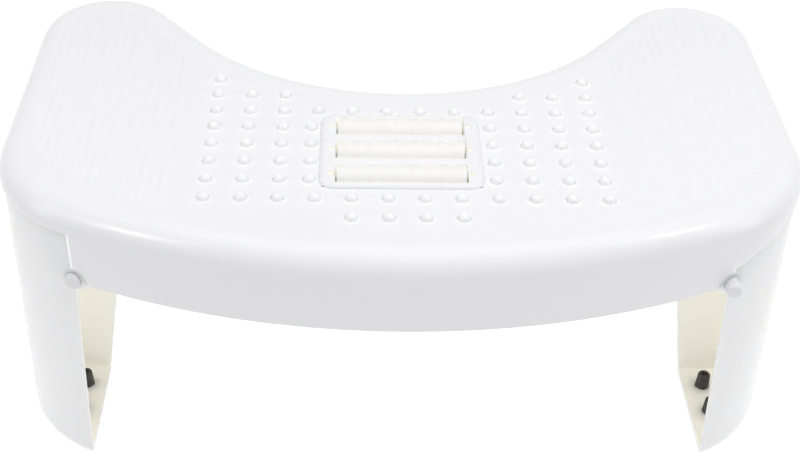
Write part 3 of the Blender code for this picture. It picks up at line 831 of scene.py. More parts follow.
def plastic(name, tone, roughness, reach=0, painted_glow=0):
    """Moulded plastic: one even colour, a fine grain, a soft gloss, light through its walls and,
    where asked, a painted glow from its emission.
    """
    material, nodes, links, shader, place = new_material(name)
    # Emission in the plastic's own tone: a painted glow, none unless asked for.
    fill(shader, {"Base Color": tone, "IOR": PLASTIC_IOR, "Emission Color": tone,
                  "Emission Strength": painted_glow})
    if reach:
        glow = bpy.context.scene.footstool_finish.glow_through
        fill(shader, {"Subsurface Weight": glow, "Subsurface Radius": GLOW_TONE,
                      "Subsurface Scale": reach})
    material.cycles.emission_sampling = "NONE"
    grain = noise(nodes, links, place, PLASTIC_GRAIN, PLASTIC_GRAIN_DETAIL)
    low, high = roughness - PLASTIC_GLOSS_SPREAD, roughness + PLASTIC_GLOSS_SPREAD
    links.new(spread(nodes, links, grain, low, high), shader.inputs["Roughness"])
    bump(nodes, links, grain, shader, PLASTIC_GRAIN_DEPTH, PLASTIC_GRAIN_SHARE)
    return material


def rubber(name, tone):
    """Matt rubber with a speckled grain."""
    material, nodes, links, shader, place = new_material(name)
    grain = noise(nodes, links, place, RUBBER_GRAIN, RUBBER_GRAIN_DETAIL)
    speckled = tint(nodes, links, grain, tone, shaded(tone, RUBBER_SPECK_SHARE))
    links.new(speckled, shader.inputs["Base Color"])
    links.new(spread(nodes, links, grain, *RUBBER_ROUGHNESS), shader.inputs["Roughness"])
    bump(nodes, links, grain, shader, RUBBER_GRAIN_DEPTH, RUBBER_GRAIN_SHARE)
    return material


def steel(name, tone):
    """Drawn steel with fine lines along it."""
    material, nodes, links, shader, place = new_material(name)
    stretch = fill(nodes.new("ShaderNodeMapping"), {"Scale": STEEL_STRETCH})
    links.new(place, stretch.inputs["Vector"])
    lines = noise(nodes, links, stretch.outputs["Vector"], STEEL_LINES, STEEL_LINES_DETAIL)
    lined = tint(nodes, links, lines, tone, shaded(tone, STEEL_LINE_SHARE))
    links.new(lined, shader.inputs["Base Color"])
    links.new(spread(nodes, links, lines, *STEEL_ROUGHNESS), shader.inputs["Roughness"])
    fill(shader, {"Metallic": 1})
    bump(nodes, links, lines, shader, STEEL_LINES_DEPTH, STEEL_LINES_SHARE)
    return material


def material_named(name):
    """A finish, made when it is first asked for."""
    if name in bpy.data.materials and bpy.data.materials[name].get("finished"):
        return bpy.data.materials[name]
    sizes = bpy.context.scene.footstool_finish
    make, tone, *values = {
        "moulded_white": (plastic, sizes.white, sizes.gloss),
        # Rounded seam edges: lighter and glowing, a painted highlight.
        "seam_white": (plastic, sizes.seams, sizes.gloss, 0, sizes.seam_painted_glow),
        # Slot walls: warm and glowing, painted bounce light.
        "slot_cream": (plastic, sizes.inside, INNER_ROUGHNESS, 0, sizes.slot_painted_glow),
        # Nubs: a lighter white, painted light.
        "nub_white": (plastic, sizes.nubs, sizes.gloss),
        "pin_white": (plastic, sizes.pins, PIN_ROUGHNESS),
        # Legs' outside: a darker white, painted shade.
        "leg_white": (plastic, sizes.legs, sizes.gloss, GLOW_REACH),
        # Legs' inner faces: warm, lighter and glowing, painted bounce light.
        "inner_plastic": (plastic, sizes.inside, INNER_ROUGHNESS, GLOW_REACH, sizes.painted_glow),
        "roller_cream": (plastic, sizes.roller, ROLLER_ROUGHNESS),
        "foot_rubber": (rubber, sizes.rubber),
        "axle_steel": (steel, sizes.steel),
    }[name]
    material = make(name, tone[:], *values)
    material["finished"] = True
    return material


def deck_skin(plan):
    """The deck's outer skin, open below, with its round edge."""
    deck = plan.deck
    draw(plan.half_outline(deck.top))
    item = leave()
    add_step(item, "MIRROR")
    keep_step(item)
    edit(item)
    merge_doubles()
    bpy.ops.mesh.edge_face_add()
    first = deck.edge_radius + FLAT_RING
    for step in (first, deck.skirt_depth - first):
        extrude(-UP * step)
    tidy_skin()
    choose("FACE", at_height(plan.rim_z))
    bpy.ops.mesh.delete(type="ONLY_FACE")
    soften_edges(deck.edge_radius, EDGE_STEPS, at_height(deck.top))
    choose("FACE", at_height(deck.top))
    bpy.ops.mesh.inset(thickness=FLAT_RING)
    return leave()


def long_rib(plan, x):
    """A rib from the front skirt to the back one, its top ends round as the skin is."""
    deck = plan.deck
    half_wall = deck.wall / 2
    low = (x - RIB_WALL / 2, plan.front_line(x, 0) + half_wall, deck.top - RIB_DEPTH)
    high = (x + RIB_WALL / 2, plan.back_line(x, 0) - half_wall, deck.top - half_wall)
    rib = block(low, high)
    edit(rib)

    def top_end(edge):
        across = abs(edge.verts[0].co.y - edge.verts[1].co.y) < SKIN_TOLERANCE
        return across and at_height(high[2])(edge)
    soften_edges(deck.edge_radius - half_wall, EDGE_STEPS, top_end)
    return leave()


def cross_rib(plan):
    """A rib from side to side behind the front skirt."""
    deck = plan.deck
    reach = plan.end_x - OUTER_RIB_INSET
    return upright_block(0, plan.front_y + CROSS_RIB_INSET, reach, RIB_WALL / 2,
                         deck.top - RIB_DEPTH, deck.top - deck.wall / 2)


def lug(plan, side, y):
    """A hanging plate that holds a hinge pin."""
    x = side * plan.pin_x
    high = plan.deck.top - plan.deck.wall + LUG_SINK
    line = [(x - LUG_RADIUS, y, high), (x - LUG_RADIUS, y, plan.pin_z),
            ((x, y, plan.pin_z), "Y", -math.pi, EAR_STEPS // 2), (x + LUG_RADIUS, y, high)]
    return slab(line, (0, LUG_LENGTH, 0))


def deck_notch(plan, side):
    """What is cut from the skirt for a leg; the right one has a sloping shoulder."""
    low = plan.rim_z - CUT_OVERRUN
    far = plan.front_y - CUT_OVERRUN
    near_x = plan.pin_x - plan.deck.seam
    far_x = plan.end_x + CUT_OVERRUN
    line = plan.shoulder(0) if side > 0 else [(near_x, plan.notch_top), (far_x, plan.notch_top)]
    line += [(far_x, low), (near_x, low)]
    return slab([(side * x, far, z) for x, z in line], (0, -2 * far, 0))


def plain_deck(plan):
    """The deck before its finish: skin, wall, notches, ribs, lugs, bores and the frame's hole."""
    deck = plan.deck
    leg_wall_inset = plan.leg.inset + plan.leg.wall
    front_lug_y = plan.front_line(plan.pin_x + LUG_RADIUS, leg_wall_inset) + LUG_GAP
    rear_lug_y = plan.back_line(plan.pin_x - LUG_RADIUS, leg_wall_inset) - LUG_GAP - LUG_LENGTH
    item = deck_skin(plan)
    thicken(item, deck.wall)
    ear = plan.hinge.ear_radius + deck.seam
    for side in (-1, 1):
        cut(item, deck_notch(plan, side))
        cut(item, rod(ear, (side * plan.pin_x, 0, plan.pin_z), deck.depth + CUT_OVERRUN, "Y"))
    outer = plan.end_x - OUTER_RIB_INSET
    join(item, *(long_rib(plan, x) for x in (-outer, -INNER_RIB_PLACE, INNER_RIB_PLACE, outer)))
    join(item, cross_rib(plan))
    for side in (-1, 1):
        join(item, lug(plan, side, front_lug_y), lug(plan, side, rear_lug_y))
        cut(item, rod(plan.bore, (side * plan.pin_x, 0, plan.pin_z), deck.depth, "Y"))
    cut(item, upright_block(FRAME_PLACE_X, plan.frame_y, plan.frame_width / 2 - FRAME_SEAT,
                            plan.frame_depth / 2 - FRAME_SEAT, deck.top - CUT_OVERRUN,
                            deck.top + CUT_OVERRUN))
    return item


def make_deck(plan):
    """The deck with round skirt edges, which beside the legs carry a painted highlight: a lighter,
    glowing white.
    """
    item = plain_deck(plan)
    edit(item)
    merge_doubles()

    def skirt_edge(edge):
        below = all(point.co.z < plan.notch_top + SKIN_TOLERANCE for point in edge.verts)
        return below and is_sharp(edge) and all(plan.on_skin(point.co) for point in edge.verts)
    rounded = soften_edges(RIM_ROUND, SOFT_STEPS, skirt_edge)

    # The rounded skirt edges beside the legs get the painted highlight.
    def beside_leg(face):
        middle = face.calc_center_median()
        level = middle.x < 0 and middle.z > plan.notch_top - RIM_ROUND
        return face.index in rounded and abs(middle.x) > plan.pin_x - RIM_ROUND and not level
    dress(item, ("moulded_white", "seam_white"), (beside_leg,))
    leave()
    finish(item, "deck_shell", ["deck"])


def make_nubs(plan):
    """Turned domes with a soft foot, one copied to each place."""
    radius = plan.tops.nub_radius
    height = plan.tops.nub_height
    top = plan.deck.top
    dome = (radius ** 2 + height ** 2) / (2 * height)
    foot = height * NUB_FOOT_SHARE
    places = plan.nub_places()
    x, y = places[0]
    low = top + height - dome
    # The dome's arc stops where an outward arc of the foot's radius takes over, level with the deck
    reach = math.sqrt((dome + foot) ** 2 - (top + foot - low) ** 2)
    swing = math.atan2(reach, top + foot - low)
    line = [(x, y, top + height), ((x, y, low), "Y", swing, NUB_STEPS),
            ((x + reach, y, top + foot), "Y", -swing, NUB_FOOT_STEPS),
            (x + reach, y, top - NUB_SINK), (x, y, top - NUB_SINK)]
    first = turned(line, (x, y, 0), "Z", NUB_SIDES)
    copies = [copy_of(first, (other_x - x, other_y - y, 0)) for other_x, other_y in places[1:]]
    # The nubs get the lighter white: painted light.
    finish(gather([first] + copies), "massage_nubs", ["deck"], "nub_white")


def make_pad(plan, side, name):
    """A foot pad: soft ribs along Y that stop short of the round edge."""
    tops = plan.tops
    half = tops.pad_rib_width / 2
    ribs = []
    for line in range(tops.pad_ribs):
        x = plan.pad_inner + line * tops.pad_pitch
        if x > plan.end_x - PAD_MARGIN:
            break
        front = plan.pad_front_line(x)
        back = plan.back_line(x, PAD_BACK_MARGIN)
        ribs.append(block((side * x - half, front, 0), (side * x + half, back, half)))
    item = gather(ribs)
    edit(item)
    soften_edges(half * PAD_ROUND_SHARE, PAD_RIB_STEPS, at_height(half), PAD_RIB_PROFILE)
    tidy_skin()
    bpy.ops.transform.resize(value=(1, 1, (tops.pad_rib_height + PAD_SINK) / half),
                             center_override=(0, 0, 0))
    bpy.ops.transform.translate(value=(0, 0, plan.deck.top - PAD_SINK))
    leave()
    finish(item, name, ["deck"], "moulded_white")


def lean(plan, item):
    """Lean an upright part of a leg outwards about its hinge, level by level."""
    def level_of(point):
        return round(point.co.z / SKIN_TOLERANCE)
    edit(item)
    for level in sorted({level_of(point) for point in bmesh.from_edit_mesh(item.data).verts}):
        choose("VERT", lambda point, level=level: level_of(point) == level)
        points = [point for point in bmesh.from_edit_mesh(item.data).verts if point.select]
        z = sum(point.co.z for point in points) / len(points)
        bpy.ops.transform.translate(value=(plan.leg_tan * (plan.pin_z - z), 0, 0))
    leave()
    return item


def leg_tray(plan):
    """The leg's bent wall with a floor, and a round edge between them."""
    leg = plan.leg
    draw(plan.leg_outline(leg.inset, plan.pin_x - plan.hinge.ear_radius, plan.leg_top))
    merge_doubles()
    extrude(UP * (leg.floor_height - plan.leg_top))
    at_floor = at_height(leg.floor_height)
    choose("VERT", at_floor)
    bpy.ops.mesh.edge_face_add()
    tidy_skin()
    soften_edges(leg.rounding, LEG_ROUND_STEPS,
                 lambda edge: at_floor(edge) and len(edge.link_faces) == 2)
    item = leave()
    far = max(item.data.polygons, key=lambda face: face.center.x)
    if far.normal.x < 0:
        edit(item)
        bpy.ops.mesh.flip_normals()
        leave()
    thicken(item, leg.wall)
    return item


def floor_cutter(plan):
    """What is taken off the floor's open edge, which steps outwards at the front cross wall."""
    low = -CUT_OVERRUN
    near = plan.pin_x - plan.hinge.ear_radius - CUT_OVERRUN
    step_y = plan.front_wall_y + plan.leg.wall / 2
    edge, rear_edge = plan.floor_edge, plan.rear_floor_edge
    points = [(near, plan.front_y), (edge, plan.front_y), (edge, step_y),
              (rear_edge, step_y), (rear_edge, plan.back_y), (near, plan.back_y)]
    high = plan.leg.floor_height + plan.leg.wall + RUNNING_GAP
    return slab([(x, y, low) for x, y in points], UP * (high - low))


def leg_cross_wall(plan, y, edge):
    """A wall across the leg's hollow; edge is its free side, as x and z, from the top down."""
    wall = plan.leg.wall
    outer_x = min(plan.end_line(place, plan.leg.inset + wall / 2) for place in (y, y + wall))
    middle = plan.leg.rounding - wall / 2
    turn_x = outer_x - middle
    turn_z = plan.leg.floor_height + plan.leg.rounding
    line = [(turn_x, y, turn_z - middle), ((turn_x, y, turn_z), "Y", -QUARTER, LEG_ROUND_STEPS),
            (outer_x, y, plan.deck.top - WALL_TOP_DROP)]
    return slab(line + [(x, y, z) for x, z in edge], (0, wall, 0))


def edge_cutter(plan, edge_x, edge_lean, low_y, high_y):
    """What is taken off a flange beside its edge, upright down to the ear and leaning below it."""
    ear = plan.hinge.ear_radius
    turn = math.acos((edge_x - plan.pin_x) / ear)
    low = -CUT_OVERRUN
    high = plan.deck.top + CUT_OVERRUN
    near = plan.pin_x - ear - CUT_OVERRUN
    foot_x = edge_x + math.tan(edge_lean) * (plan.pin_z - low)
    line = [(near, low_y, high), (edge_x, low_y, high),
            (edge_x, low_y, plan.pin_z + ear * math.sin(turn)),
            ((plan.pin_x, low_y, plan.pin_z), "Y", -2 * (math.pi - turn), EAR_STEPS),
            (foot_x, low_y, low), (near, low_y, low)]
    return slab(line, (0, high_y - low_y, 0))


def shoulder_cutter(plan):
    """What is taken off the right leg above its sloping shoulder."""
    high = plan.deck.top + CUT_OVERRUN
    near = plan.pin_x - plan.hinge.ear_radius - CUT_OVERRUN
    line = plan.shoulder(plan.deck.seam)
    points = [(near, line[0][1])] + line + [(line[-1][0], high), (near, high)]
    return slab([(x, plan.front_y, z) for x, z in points], (0, 2 * plan.back_y, 0))


def leg_outward(plan, point):
    """The direction from a leg's middle line to a point of its wall."""
    if point.y < plan.corner_y:
        return Vector((point.x - plan.corner_x, point.y - plan.corner_y, 0)).normalized()
    if point.y > plan.lobe_y:
        return Vector((point.x - plan.lobe_x, point.y - plan.lobe_y, 0)).normalized()
    return Vector((1, 0, 0))


def plain_leg(plan):
    """The +X leg before its shoulder and its finish."""
    item = lean(plan, leg_tray(plan))
    cut(item, lean(plan, floor_cutter(plan)))
    bulge_end = plan.pin_x + BULGE_END_OFFSET
    top = plan.deck.top
    front_edge = [(bulge_end + plan.hinge.ear_radius, top - WALL_TOP_DROP),
                  (bulge_end, top - BULGE_END_DROP), (plan.pin_x - BULGE_REACH, top - BULGE_DROP),
                  (plan.floor_edge + RUNNING_GAP, plan.plate_middle)]
    rear_edge = [(plan.pin_x + REAR_WALL_EDGE_OFFSET, top - REAR_WALL_EDGE_DROP),
                 (plan.rear_floor_edge + RUNNING_GAP, plan.plate_middle)]
    for y, edge in ((plan.front_wall_y, front_edge), (plan.rear_wall_y, rear_edge)):
        join(item, lean(plan, leg_cross_wall(plan, y, edge)))
    rear_edge_x = plan.pin_x + REAR_FLANGE_OFFSET
    cut(item, edge_cutter(plan, plan.pin_x, FRONT_EDGE_LEAN, plan.front_y, plan.corner_y))
    cut(item, edge_cutter(plan, rear_edge_x, REAR_EDGE_LEAN, plan.lobe_y, plan.back_y))
    cut(item, rod(plan.bore, (plan.pin_x, 0, plan.pin_z), plan.deck.depth, "Y"))
    hole = FOOT_NECK_RADIUS + RUNNING_GAP
    for x, y in plan.foot_places():
        cut(item, rod(hole, (x, y, plan.plate_middle), 2 * plan.leg.wall, "Z"))
    return item


def dress_leg(plan, item):
    """Round the outer edges of the +X leg; paint shade on its outside, a warm glow on its inner
    faces and a highlight on its shoulder.
    """
    def outer(face):
        return face.normal.dot(leg_outward(plan, face.calc_center_median())) > OUTSIDE_FACING

    def in_bore(point):
        reach = math.hypot(point.co.x - plan.pin_x, point.co.z - plan.pin_z)
        return reach < (plan.bore + plan.hinge.ear_radius) / 2

    def outer_edge(edge):
        if not is_sharp(edge) or all(in_bore(point) for point in edge.verts):
            return False
        return sum(outer(face) for face in edge.link_faces) == 1
    edit(item)
    tidy_skin()
    rounded = soften_edges(RIM_ROUND, SOFT_STEPS, outer_edge)

    # Inner faces get the painted warm glow.
    def inner(face):
        middle = face.calc_center_median()
        facing = face.normal.dot(leg_outward(plan, middle))
        beside_edge = middle.x < plan.pin_x + 2 * plan.leg.wall and facing < OUTSIDE_FACING
        flange_edge = (face.normal.x < EDGE_FACING and beside_edge
                       and middle.y < plan.corner_y - 2 * plan.hinge.ear_radius)
        return facing < INSIDE_FACING and face.normal.z > EDGE_FACING and not flange_edge

    # The rounded shoulder edge gets the painted highlight.
    def shoulder_edge(face):
        middle = face.calc_center_median()
        high = middle.z > plan.pin_z + plan.hinge.ear_radius
        return face.index in rounded and high and middle.z < plan.leg_top - RIM_ROUND
    # The leg's outside keeps the darker white: painted shade.
    dress(item, ("leg_white", "inner_plastic", "seam_white"), (inner, shoulder_edge))
    leave()


def make_legs(plan):
    """Both leg panels: the left one is mirrored, the right one has the sloping shoulder."""
    right = plain_leg(plan)
    left = copy_of(right)
    cut(right, shoulder_cutter(plan))
    for item, side in ((left, "left"), (right, "right")):
        dress_leg(plan, item)
        if side == "left":
            mirrored(item)
        finish(item, side + "_leg_panel", [side + "_leg"], body=side + "_leg_body")


def make_pins(plan):
    """The four hinge pins; the front ones stand out of the skirt."""
    front = plan.front_line(plan.pin_x, 0)
    back = plan.back_line(plan.pin_x, 0)
    reach = plan.hinge.pin_length
    for name, side, outer_y, direction in (
            ("left_front_pin", -1, front - LEFT_PIN_STAND, 1),
            ("right_front_pin", 1, front - RIGHT_PIN_STAND, 1),
            ("left_rear_pin", -1, back - REAR_PIN_SINK, -1),
            ("right_rear_pin", 1, back - REAR_PIN_SINK, -1)):
        centre = (side * plan.pin_x, outer_y + direction * reach / 2, plan.pin_z)
        item = soft_rod(plan.hinge.pin_radius, centre, reach, "Y", PIN_CHAMFER)
        finish(item, name + "_turned", [name], "pin_white")


def make_foot(plan):
    """A rubber foot at the origin: a disc under the plate, a neck through it and a stem above."""
    leg = plan.leg
    neck_top = leg.floor_height + leg.wall + RUNNING_GAP
    stem_top = neck_top + FOOT_STEM_HEIGHT
    dimple_low = stem_top - FOOT_DIMPLE_DEPTH
    dimple_high = stem_top - FOOT_ROUND
    head = leg.floor_height - RUNNING_GAP
    shoulder_x = FOOT_TIP_RADIUS - FOOT_STEM_ROUND
    floor_x = leg.foot_radius - FOOT_ROUND
    line = [
        (0, 0, dimple_low), (FOOT_DIMPLE_RADIUS - FOOT_ROUND, 0, dimple_low),
        (FOOT_DIMPLE_RADIUS, 0, dimple_low + FOOT_ROUND), (FOOT_DIMPLE_RADIUS, 0, dimple_high),
        ((FOOT_DIMPLE_RADIUS + FOOT_ROUND, 0, dimple_high), "Y", QUARTER, SOFT_STEPS),
        (shoulder_x, 0, stem_top),
        ((shoulder_x, 0, stem_top - FOOT_STEM_ROUND), "Y", QUARTER, 2 * SOFT_STEPS),
        (FOOT_STEM_RADIUS, 0, neck_top), (FOOT_NECK_RADIUS, 0, neck_top),
        (FOOT_NECK_RADIUS, 0, head), (floor_x, 0, head),
        (leg.foot_radius, 0, head - FOOT_ROUND / 2), (leg.foot_radius, 0, FOOT_ROUND),
        ((floor_x, 0, FOOT_ROUND), "Y", QUARTER, SOFT_STEPS), (0, 0, 0),
    ]
    return turned(line, (0, 0, 0), "Z")


def make_feet(plan):
    """Eight rubber feet, four to a leg."""
    first = make_foot(plan)
    for side, side_name in ((-1, "left"), (1, "right")):
        for letter, (x, y) in zip("abcd", plan.foot_places()):
            name = side_name + "_foot_" + letter
            finish(copy_of(first, (side * x, y, 0)), name + "_rubber", [name], "foot_rubber",
                   side_name + "_leg_body")
    bpy.data.objects.remove(first, do_unlink=True)


def round_plate(plan, low, high):
    """The roller frame's rim, with round corners."""
    half_x = plan.frame_width / 2
    half_y = plan.frame_depth / 2
    middle = Vector((FRAME_PLACE_X, plan.frame_y, low))
    line = []
    for sign_x, sign_y in ((1, 1), (-1, 1), (-1, -1), (1, -1)):
        centre = middle + Vector((sign_x * (half_x - FRAME_CORNER),
                                  sign_y * (half_y - FRAME_CORNER), 0))
        reach = Vector((sign_x, 0, 0)) if sign_x == sign_y else Vector((0, sign_y, 0))
        line += [tuple(centre + reach * FRAME_CORNER),
                 (tuple(centre), "Z", QUARTER, FRAME_CORNER_STEPS)]
    return slab(line, UP * (high - low))


def plain_frame(plan, low, high):
    """The frame before its slots: a rim between two heights, a tray below it and four hooks."""
    deck = plan.deck
    item = round_plate(plan, low, high)
    edit(item)
    soften_edges(FRAME_RIM_ROUND, SOFT_STEPS + 1, at_height(high), FRAME_RIM_PROFILE)
    leave()
    tray_x = plan.frame_width / 2 - FRAME_SEAT - RUNNING_GAP
    tray_y = plan.frame_depth / 2 - FRAME_SEAT - RUNNING_GAP
    join(item, upright_block(FRAME_PLACE_X, plan.frame_y, tray_x, tray_y, plan.frame_low,
                             low + FRAME_RIM / 2))
    hook_high = deck.top - deck.wall - RUNNING_GAP
    for side in (-1, 1):
        near, far = sorted(plan.frame_y + side * reach
                           for reach in (tray_y - deck.wall / 2, tray_y + HOOK_REACH))
        for place in (-HOOK_OFFSET, HOOK_OFFSET):
            x = FRAME_PLACE_X + place
            join(item, block((x - HOOK_LENGTH / 2, near, hook_high - HOOK_HEIGHT),
                             (x + HOOK_LENGTH / 2, far, hook_high)))
    return item


def cut_slot(plan, item, y, pocket):
    """Cut a roller's slot from the frame, with the two pockets and the bores for its axle."""
    half_pocket = AXLE_POCKET / 2
    above = plan.deck.top + CUT_OVERRUN
    cut(item, upright_block(FRAME_PLACE_X, y, plan.slot_length / 2, plan.slot_width / 2,
                            plan.frame_low + FRAME_FLOOR, above))
    for side in (-1, 1):
        near, far = sorted(FRAME_PLACE_X + side * reach
                           for reach in (pocket, pocket + AXLE_POCKET))
        cut(item, block((near, y - half_pocket, plan.roller_z - half_pocket),
                        (far, y + half_pocket, above)))
    cut(item, rod(plan.roller.axle_radius + RUNNING_GAP, (FRAME_PLACE_X, y, plan.roller_z),
                  2 * pocket + AXLE_POCKET, "X"))


def make_frame(plan):
    """The insert that carries the rollers: a rim on the deck and a slotted tray below it."""
    high = plan.deck.top + RUNNING_GAP + FRAME_RIM
    pocket = plan.slot_length / 2 + AXLE_BRIDGE
    item = plain_frame(plan, plan.deck.top + RIM_GAP, high)
    for place in plan.slot_places():
        cut_slot(plan, item, place, pocket)
    edit(item)
    tidy_skin()
    soften_edges(SLOT_ROUND, SOFT_STEPS, lambda edge: at_height(high)(edge) and is_sharp(edge))
    reach_x = pocket + AXLE_POCKET + RUNNING_GAP
    reach_y = plan.slot_pitch + plan.slot_width / 2 + RUNNING_GAP

    # Faces inside the slots get a warm, glowing colour: painted bounce light.
    def in_slot(face):
        middle = face.calc_center_median()
        within = abs(middle.x - FRAME_PLACE_X) < reach_x and abs(middle.y - plan.frame_y) < reach_y
        return within and middle.z < high - SLOT_ROUND
    dress(item, ("moulded_white", "slot_cream"), (in_slot,))
    leave()
    finish(item, "roller_frame_moulded", ["roller_frame"])


def roller_line(plan, centre):
    """A roller's profile round its wall: rounded rings outside and a plain bore inside."""
    roller = plan.roller
    x, y, z = centre
    half = roller.length / 2
    pitch = roller.length / roller.rings
    groove = pitch * GROOVE_SHARE
    land = (pitch - groove) / 2
    deep = z + roller.radius - RING_DEPTH
    bulge = (land ** 2 + RING_DEPTH ** 2) / (2 * RING_DEPTH)
    swing = 2 * math.asin(land / bulge)
    line = [(x - half, y, deep)]
    for ring in range(roller.rings):
        start = x - half + ring * pitch + groove / 2
        line += [(start, y, deep),
                 ((start + land, y, z + roller.radius - bulge), "Y", swing, RING_STEPS)]
    bore = z + roller.axle_radius + RUNNING_GAP
    line += [(x + half, y, deep), (x + half, y, bore), (x - half, y, bore), (x - half, y, deep)]
    return line


def make_rollers(plan):
    """The ringed rollers and their axles."""
    reach = plan.slot_length + 2 * (AXLE_BRIDGE + AXLE_POCKET) - 2 * RUNNING_GAP
    centres = [(FRAME_PLACE_X, place, plan.roller_z) for place in plan.slot_places()]
    first = turned(roller_line(plan, centres[0]), centres[0], "X")
    for name, centre in zip(("rear", "middle", "front"), centres):
        item = copy_of(first, Vector(centre) - Vector(centres[0]))
        finish(item, name + "_roller_ringed", [name + "_roller"], "roller_cream",
               name + "_roller_body")
        axle = soft_rod(plan.roller.axle_radius, centre, reach, "X", RUNNING_GAP, TURNED_SIDES // 2)
        finish(axle, name + "_axle_turned", [name + "_axle"], "axle_steel")
    bpy.data.objects.remove(first, do_unlink=True)


def shown_rays(nodes, links):
    """One for the rays that show the background: camera, glossy and transmission rays."""
    path = nodes.new("ShaderNodeLightPath")
    value = path.outputs["Is Camera Ray"]
    for name in ("Is Glossy Ray", "Is Transmission Ray"):
        larger = nodes.new("ShaderNodeMath")
        larger.operation = "MAXIMUM"
        links.new(value, larger.inputs[0])
        links.new(path.outputs[name], larger.inputs[1])
        value = larger.outputs[0]
    return value


def make_floor():
    """A plain pale floor that keeps the shadow."""
    pick(None)
    bpy.ops.mesh.primitive_plane_add(size=FLOOR_SIZE)
    item = bpy.context.object
    item.name = "studio_floor"
    material, nodes, links, shader, _ = new_material("studio_floor")
    fill(shader, {"Base Color": FLOOR_COLOUR, "Roughness": 1, "Specular IOR Level": 0,
                  "Emission Color": WHITE})
    glow = spread(nodes, links, shown_rays(nodes, links), FLOOR_LIGHT, FLOOR_GLOW)
    links.new(glow, shader.inputs["Emission Strength"])
    item.data.materials.append(material)


def make_sky():
    """Even light from all sides, which shows as plain white."""
    world = bpy.data.worlds.new("studio_light")
    bpy.context.scene.world = world
    world.use_nodes = True
    nodes = world.node_tree.nodes
    links = world.node_tree.links
    even = fill(nodes["Background"], {"Color": WHITE, "Strength": SKY_LEVEL})
    white = fill(nodes.new("ShaderNodeBackground"), {"Color": WHITE})
    mix = nodes.new("ShaderNodeMixShader")
    links.new(shown_rays(nodes, links), mix.inputs["Fac"])
    links.new(even.outputs["Background"], mix.inputs[1])
    links.new(white.outputs["Background"], mix.inputs[2])
    links.new(mix.outputs["Shader"], nodes["World Output"].inputs["Surface"])


def make_lamp(name, place, width, height, power, in_gloss):
    """A soft lamp that points at the footstool."""
    turn = (Vector(place) - Vector(LAMP_AIM)).to_track_quat("Z", "Y").to_euler()
    pick(None)
    bpy.ops.object.light_add(type="AREA", location=place, rotation=turn)
    lamp = bpy.context.object
    lamp.name = name
    lamp.visible_glossy = in_gloss
    lamp.data.shape = "RECTANGLE"
    lamp.data.size = width
    lamp.data.size_y = height
    lamp.data.energy = power


def make_camera():
    """The photograph's viewpoint."""
    cos_tilt = math.cos(CAMERA_TILT)
    forward = Vector((math.sin(CAMERA_YAW) * cos_tilt, math.cos(CAMERA_YAW) * cos_tilt,
                      -math.sin(CAMERA_TILT)))
    right = forward.cross(UP).normalized()
    above = right.cross(forward)
    turned_right = math.cos(CAMERA_ROLL) * right + math.sin(CAMERA_ROLL) * above
    turned_above = math.cos(CAMERA_ROLL) * above - math.sin(CAMERA_ROLL) * right
    turn = Matrix((turned_right, turned_above, -forward)).transposed()
    pick(None)
    bpy.ops.object.camera_add(location=CAMERA_PLACE, rotation=turn.to_euler())
    camera = bpy.context.object
    camera.data.lens = CAMERA_LENS
    camera.data.sensor_width = CAMERA_SENSOR
    camera.data.sensor_fit = "HORIZONTAL"
    bpy.context.scene.camera = camera


def make_stage():
    """The floor, the light and the camera."""
    make_floor()
    make_sky()
    for lamp in LAMPS:
        make_lamp(*lamp)
    make_camera()
    bpy.context.scene.view_settings.view_transform = "Standard"


class FOOTSTOOL_OT_deck(bpy.types.Operator):
    """Model the moulded deck"""
    bl_idname = "footstool.deck"
    bl_label = "Deck"

    def execute(self, context):
        make_deck(Plan(context.scene))
        return {"FINISHED"}


class FOOTSTOOL_OT_nubs(bpy.types.Operator):
    """Model the massage nubs on the deck"""
    bl_idname = "footstool.nubs"
    bl_label = "Massage nubs"

    def execute(self, context):
        make_nubs(Plan(context.scene))
        return {"FINISHED"}


class FOOTSTOOL_OT_pads(bpy.types.Operator):
    """Model the two ribbed foot pads"""
    bl_idname = "footstool.pads"
    bl_label = "Foot pads"

    def execute(self, context):
        plan = Plan(context.scene)
        make_pad(plan, -1, "left_foot_pad")
        make_pad(plan, 1, "right_foot_pad")
        return {"FINISHED"}


class FOOTSTOOL_OT_legs(bpy.types.Operator):
    """Model the two folding leg panels"""
    bl_idname = "footstool.legs"
    bl_label = "Leg panels"

    def execute(self, context):
        make_legs(Plan(context.scene))
        return {"FINISHED"}


class FOOTSTOOL_OT_pins(bpy.types.Operator):
    """Model the four hinge pins"""
    bl_idname = "footstool.pins"
    bl_label = "Hinge pins"

    def execute(self, context):
        make_pins(Plan(context.scene))
        return {"FINISHED"}


class FOOTSTOOL_OT_feet(bpy.types.Operator):
    """Model the eight rubber feet"""
    bl_idname = "footstool.feet"
    bl_label = "Rubber feet"

    def execute(self, context):
        make_feet(Plan(context.scene))
        return {"FINISHED"}


class FOOTSTOOL_OT_roller_frame(bpy.types.Operator):
    """Model the insert that carries the rollers"""
    bl_idname = "footstool.roller_frame"
    bl_label = "Roller frame"

    def execute(self, context):
        make_frame(Plan(context.scene))
        return {"FINISHED"}


class FOOTSTOOL_OT_rollers(bpy.types.Operator):
    """Model the three ringed rollers and their axles"""
    bl_idname = "footstool.rollers"
    bl_label = "Rollers and axles"

    def execute(self, context):
        make_rollers(Plan(context.scene))
        return {"FINISHED"}


class FOOTSTOOL_OT_stage(bpy.types.Operator):
    """Set up the floor, the light and the camera"""
    bl_idname = "footstool.stage"
    bl_label = "Stage"

    def execute(self, context):
        make_stage()
        return {"FINISHED"}


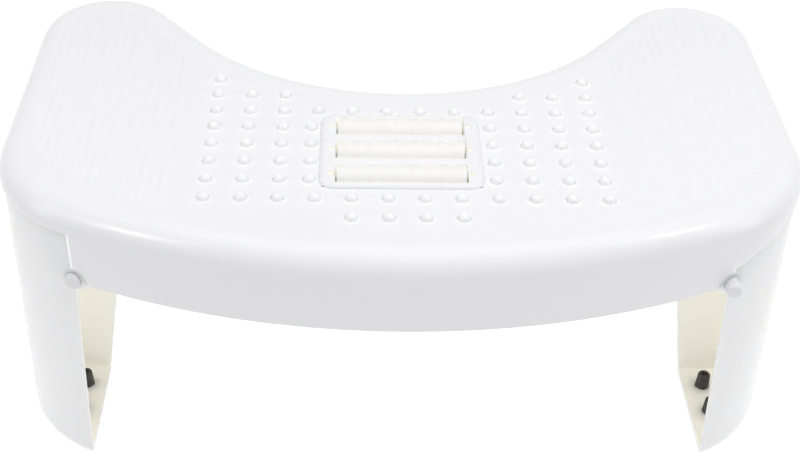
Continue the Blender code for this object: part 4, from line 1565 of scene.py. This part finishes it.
PIECES = (FOOTSTOOL_OT_deck, FOOTSTOOL_OT_nubs, FOOTSTOOL_OT_pads, FOOTSTOOL_OT_legs,
          FOOTSTOOL_OT_pins, FOOTSTOOL_OT_feet, FOOTSTOOL_OT_roller_frame,
          FOOTSTOOL_OT_rollers, FOOTSTOOL_OT_stage)
SETTINGS = (("footstool_deck", DeckSizes), ("footstool_hinge", HingeSizes),
            ("footstool_leg", LegSizes), ("footstool_top", TopSizes),
            ("footstool_roller", RollerSizes), ("footstool_finish", FootstoolFinish))


class FOOTSTOOL_PT_panel(bpy.types.Panel):
    """Lists the footstool's pieces and settings"""
    bl_idname = "FOOTSTOOL_PT_panel"
    bl_label = "Toilet Footstool"
    bl_space_type = "VIEW_3D"
    bl_region_type = "UI"
    bl_category = "Footstool"

    def draw(self, context):
        for piece in PIECES:
            self.layout.operator(piece.bl_idname)
        for name, group in SETTINGS:
            box = self.layout.box()
            box.label(text=group.__doc__)
            for setting in group.__annotations__:
                box.prop(getattr(context.scene, name), setting)


def register():
    """Add the settings, the operators and the panel."""
    for _, group in SETTINGS:
        bpy.utils.register_class(group)
    for piece in PIECES:
        bpy.utils.register_class(piece)
    bpy.utils.register_class(FOOTSTOOL_PT_panel)
    for name, group in SETTINGS:
        setattr(bpy.types.Scene, name, PointerProperty(type=group))


def unregister():
    """Take the settings, the operators and the panel away."""
    for name, _ in SETTINGS:
        delattr(bpy.types.Scene, name)
    bpy.utils.unregister_class(FOOTSTOOL_PT_panel)
    for piece in reversed(PIECES):
        bpy.utils.unregister_class(piece)
    for _, group in reversed(SETTINGS):
        bpy.utils.unregister_class(group)


def main():
    """Model every piece and set up the stage."""
    register()
    bpy.ops.footstool.deck()
    bpy.ops.footstool.nubs()
    bpy.ops.footstool.pads()
    bpy.ops.footstool.legs()
    bpy.ops.footstool.pins()
    bpy.ops.footstool.feet()
    bpy.ops.footstool.roller_frame()
    bpy.ops.footstool.rollers()
    bpy.ops.footstool.stage()


if __name__ == "__main__":
    main()
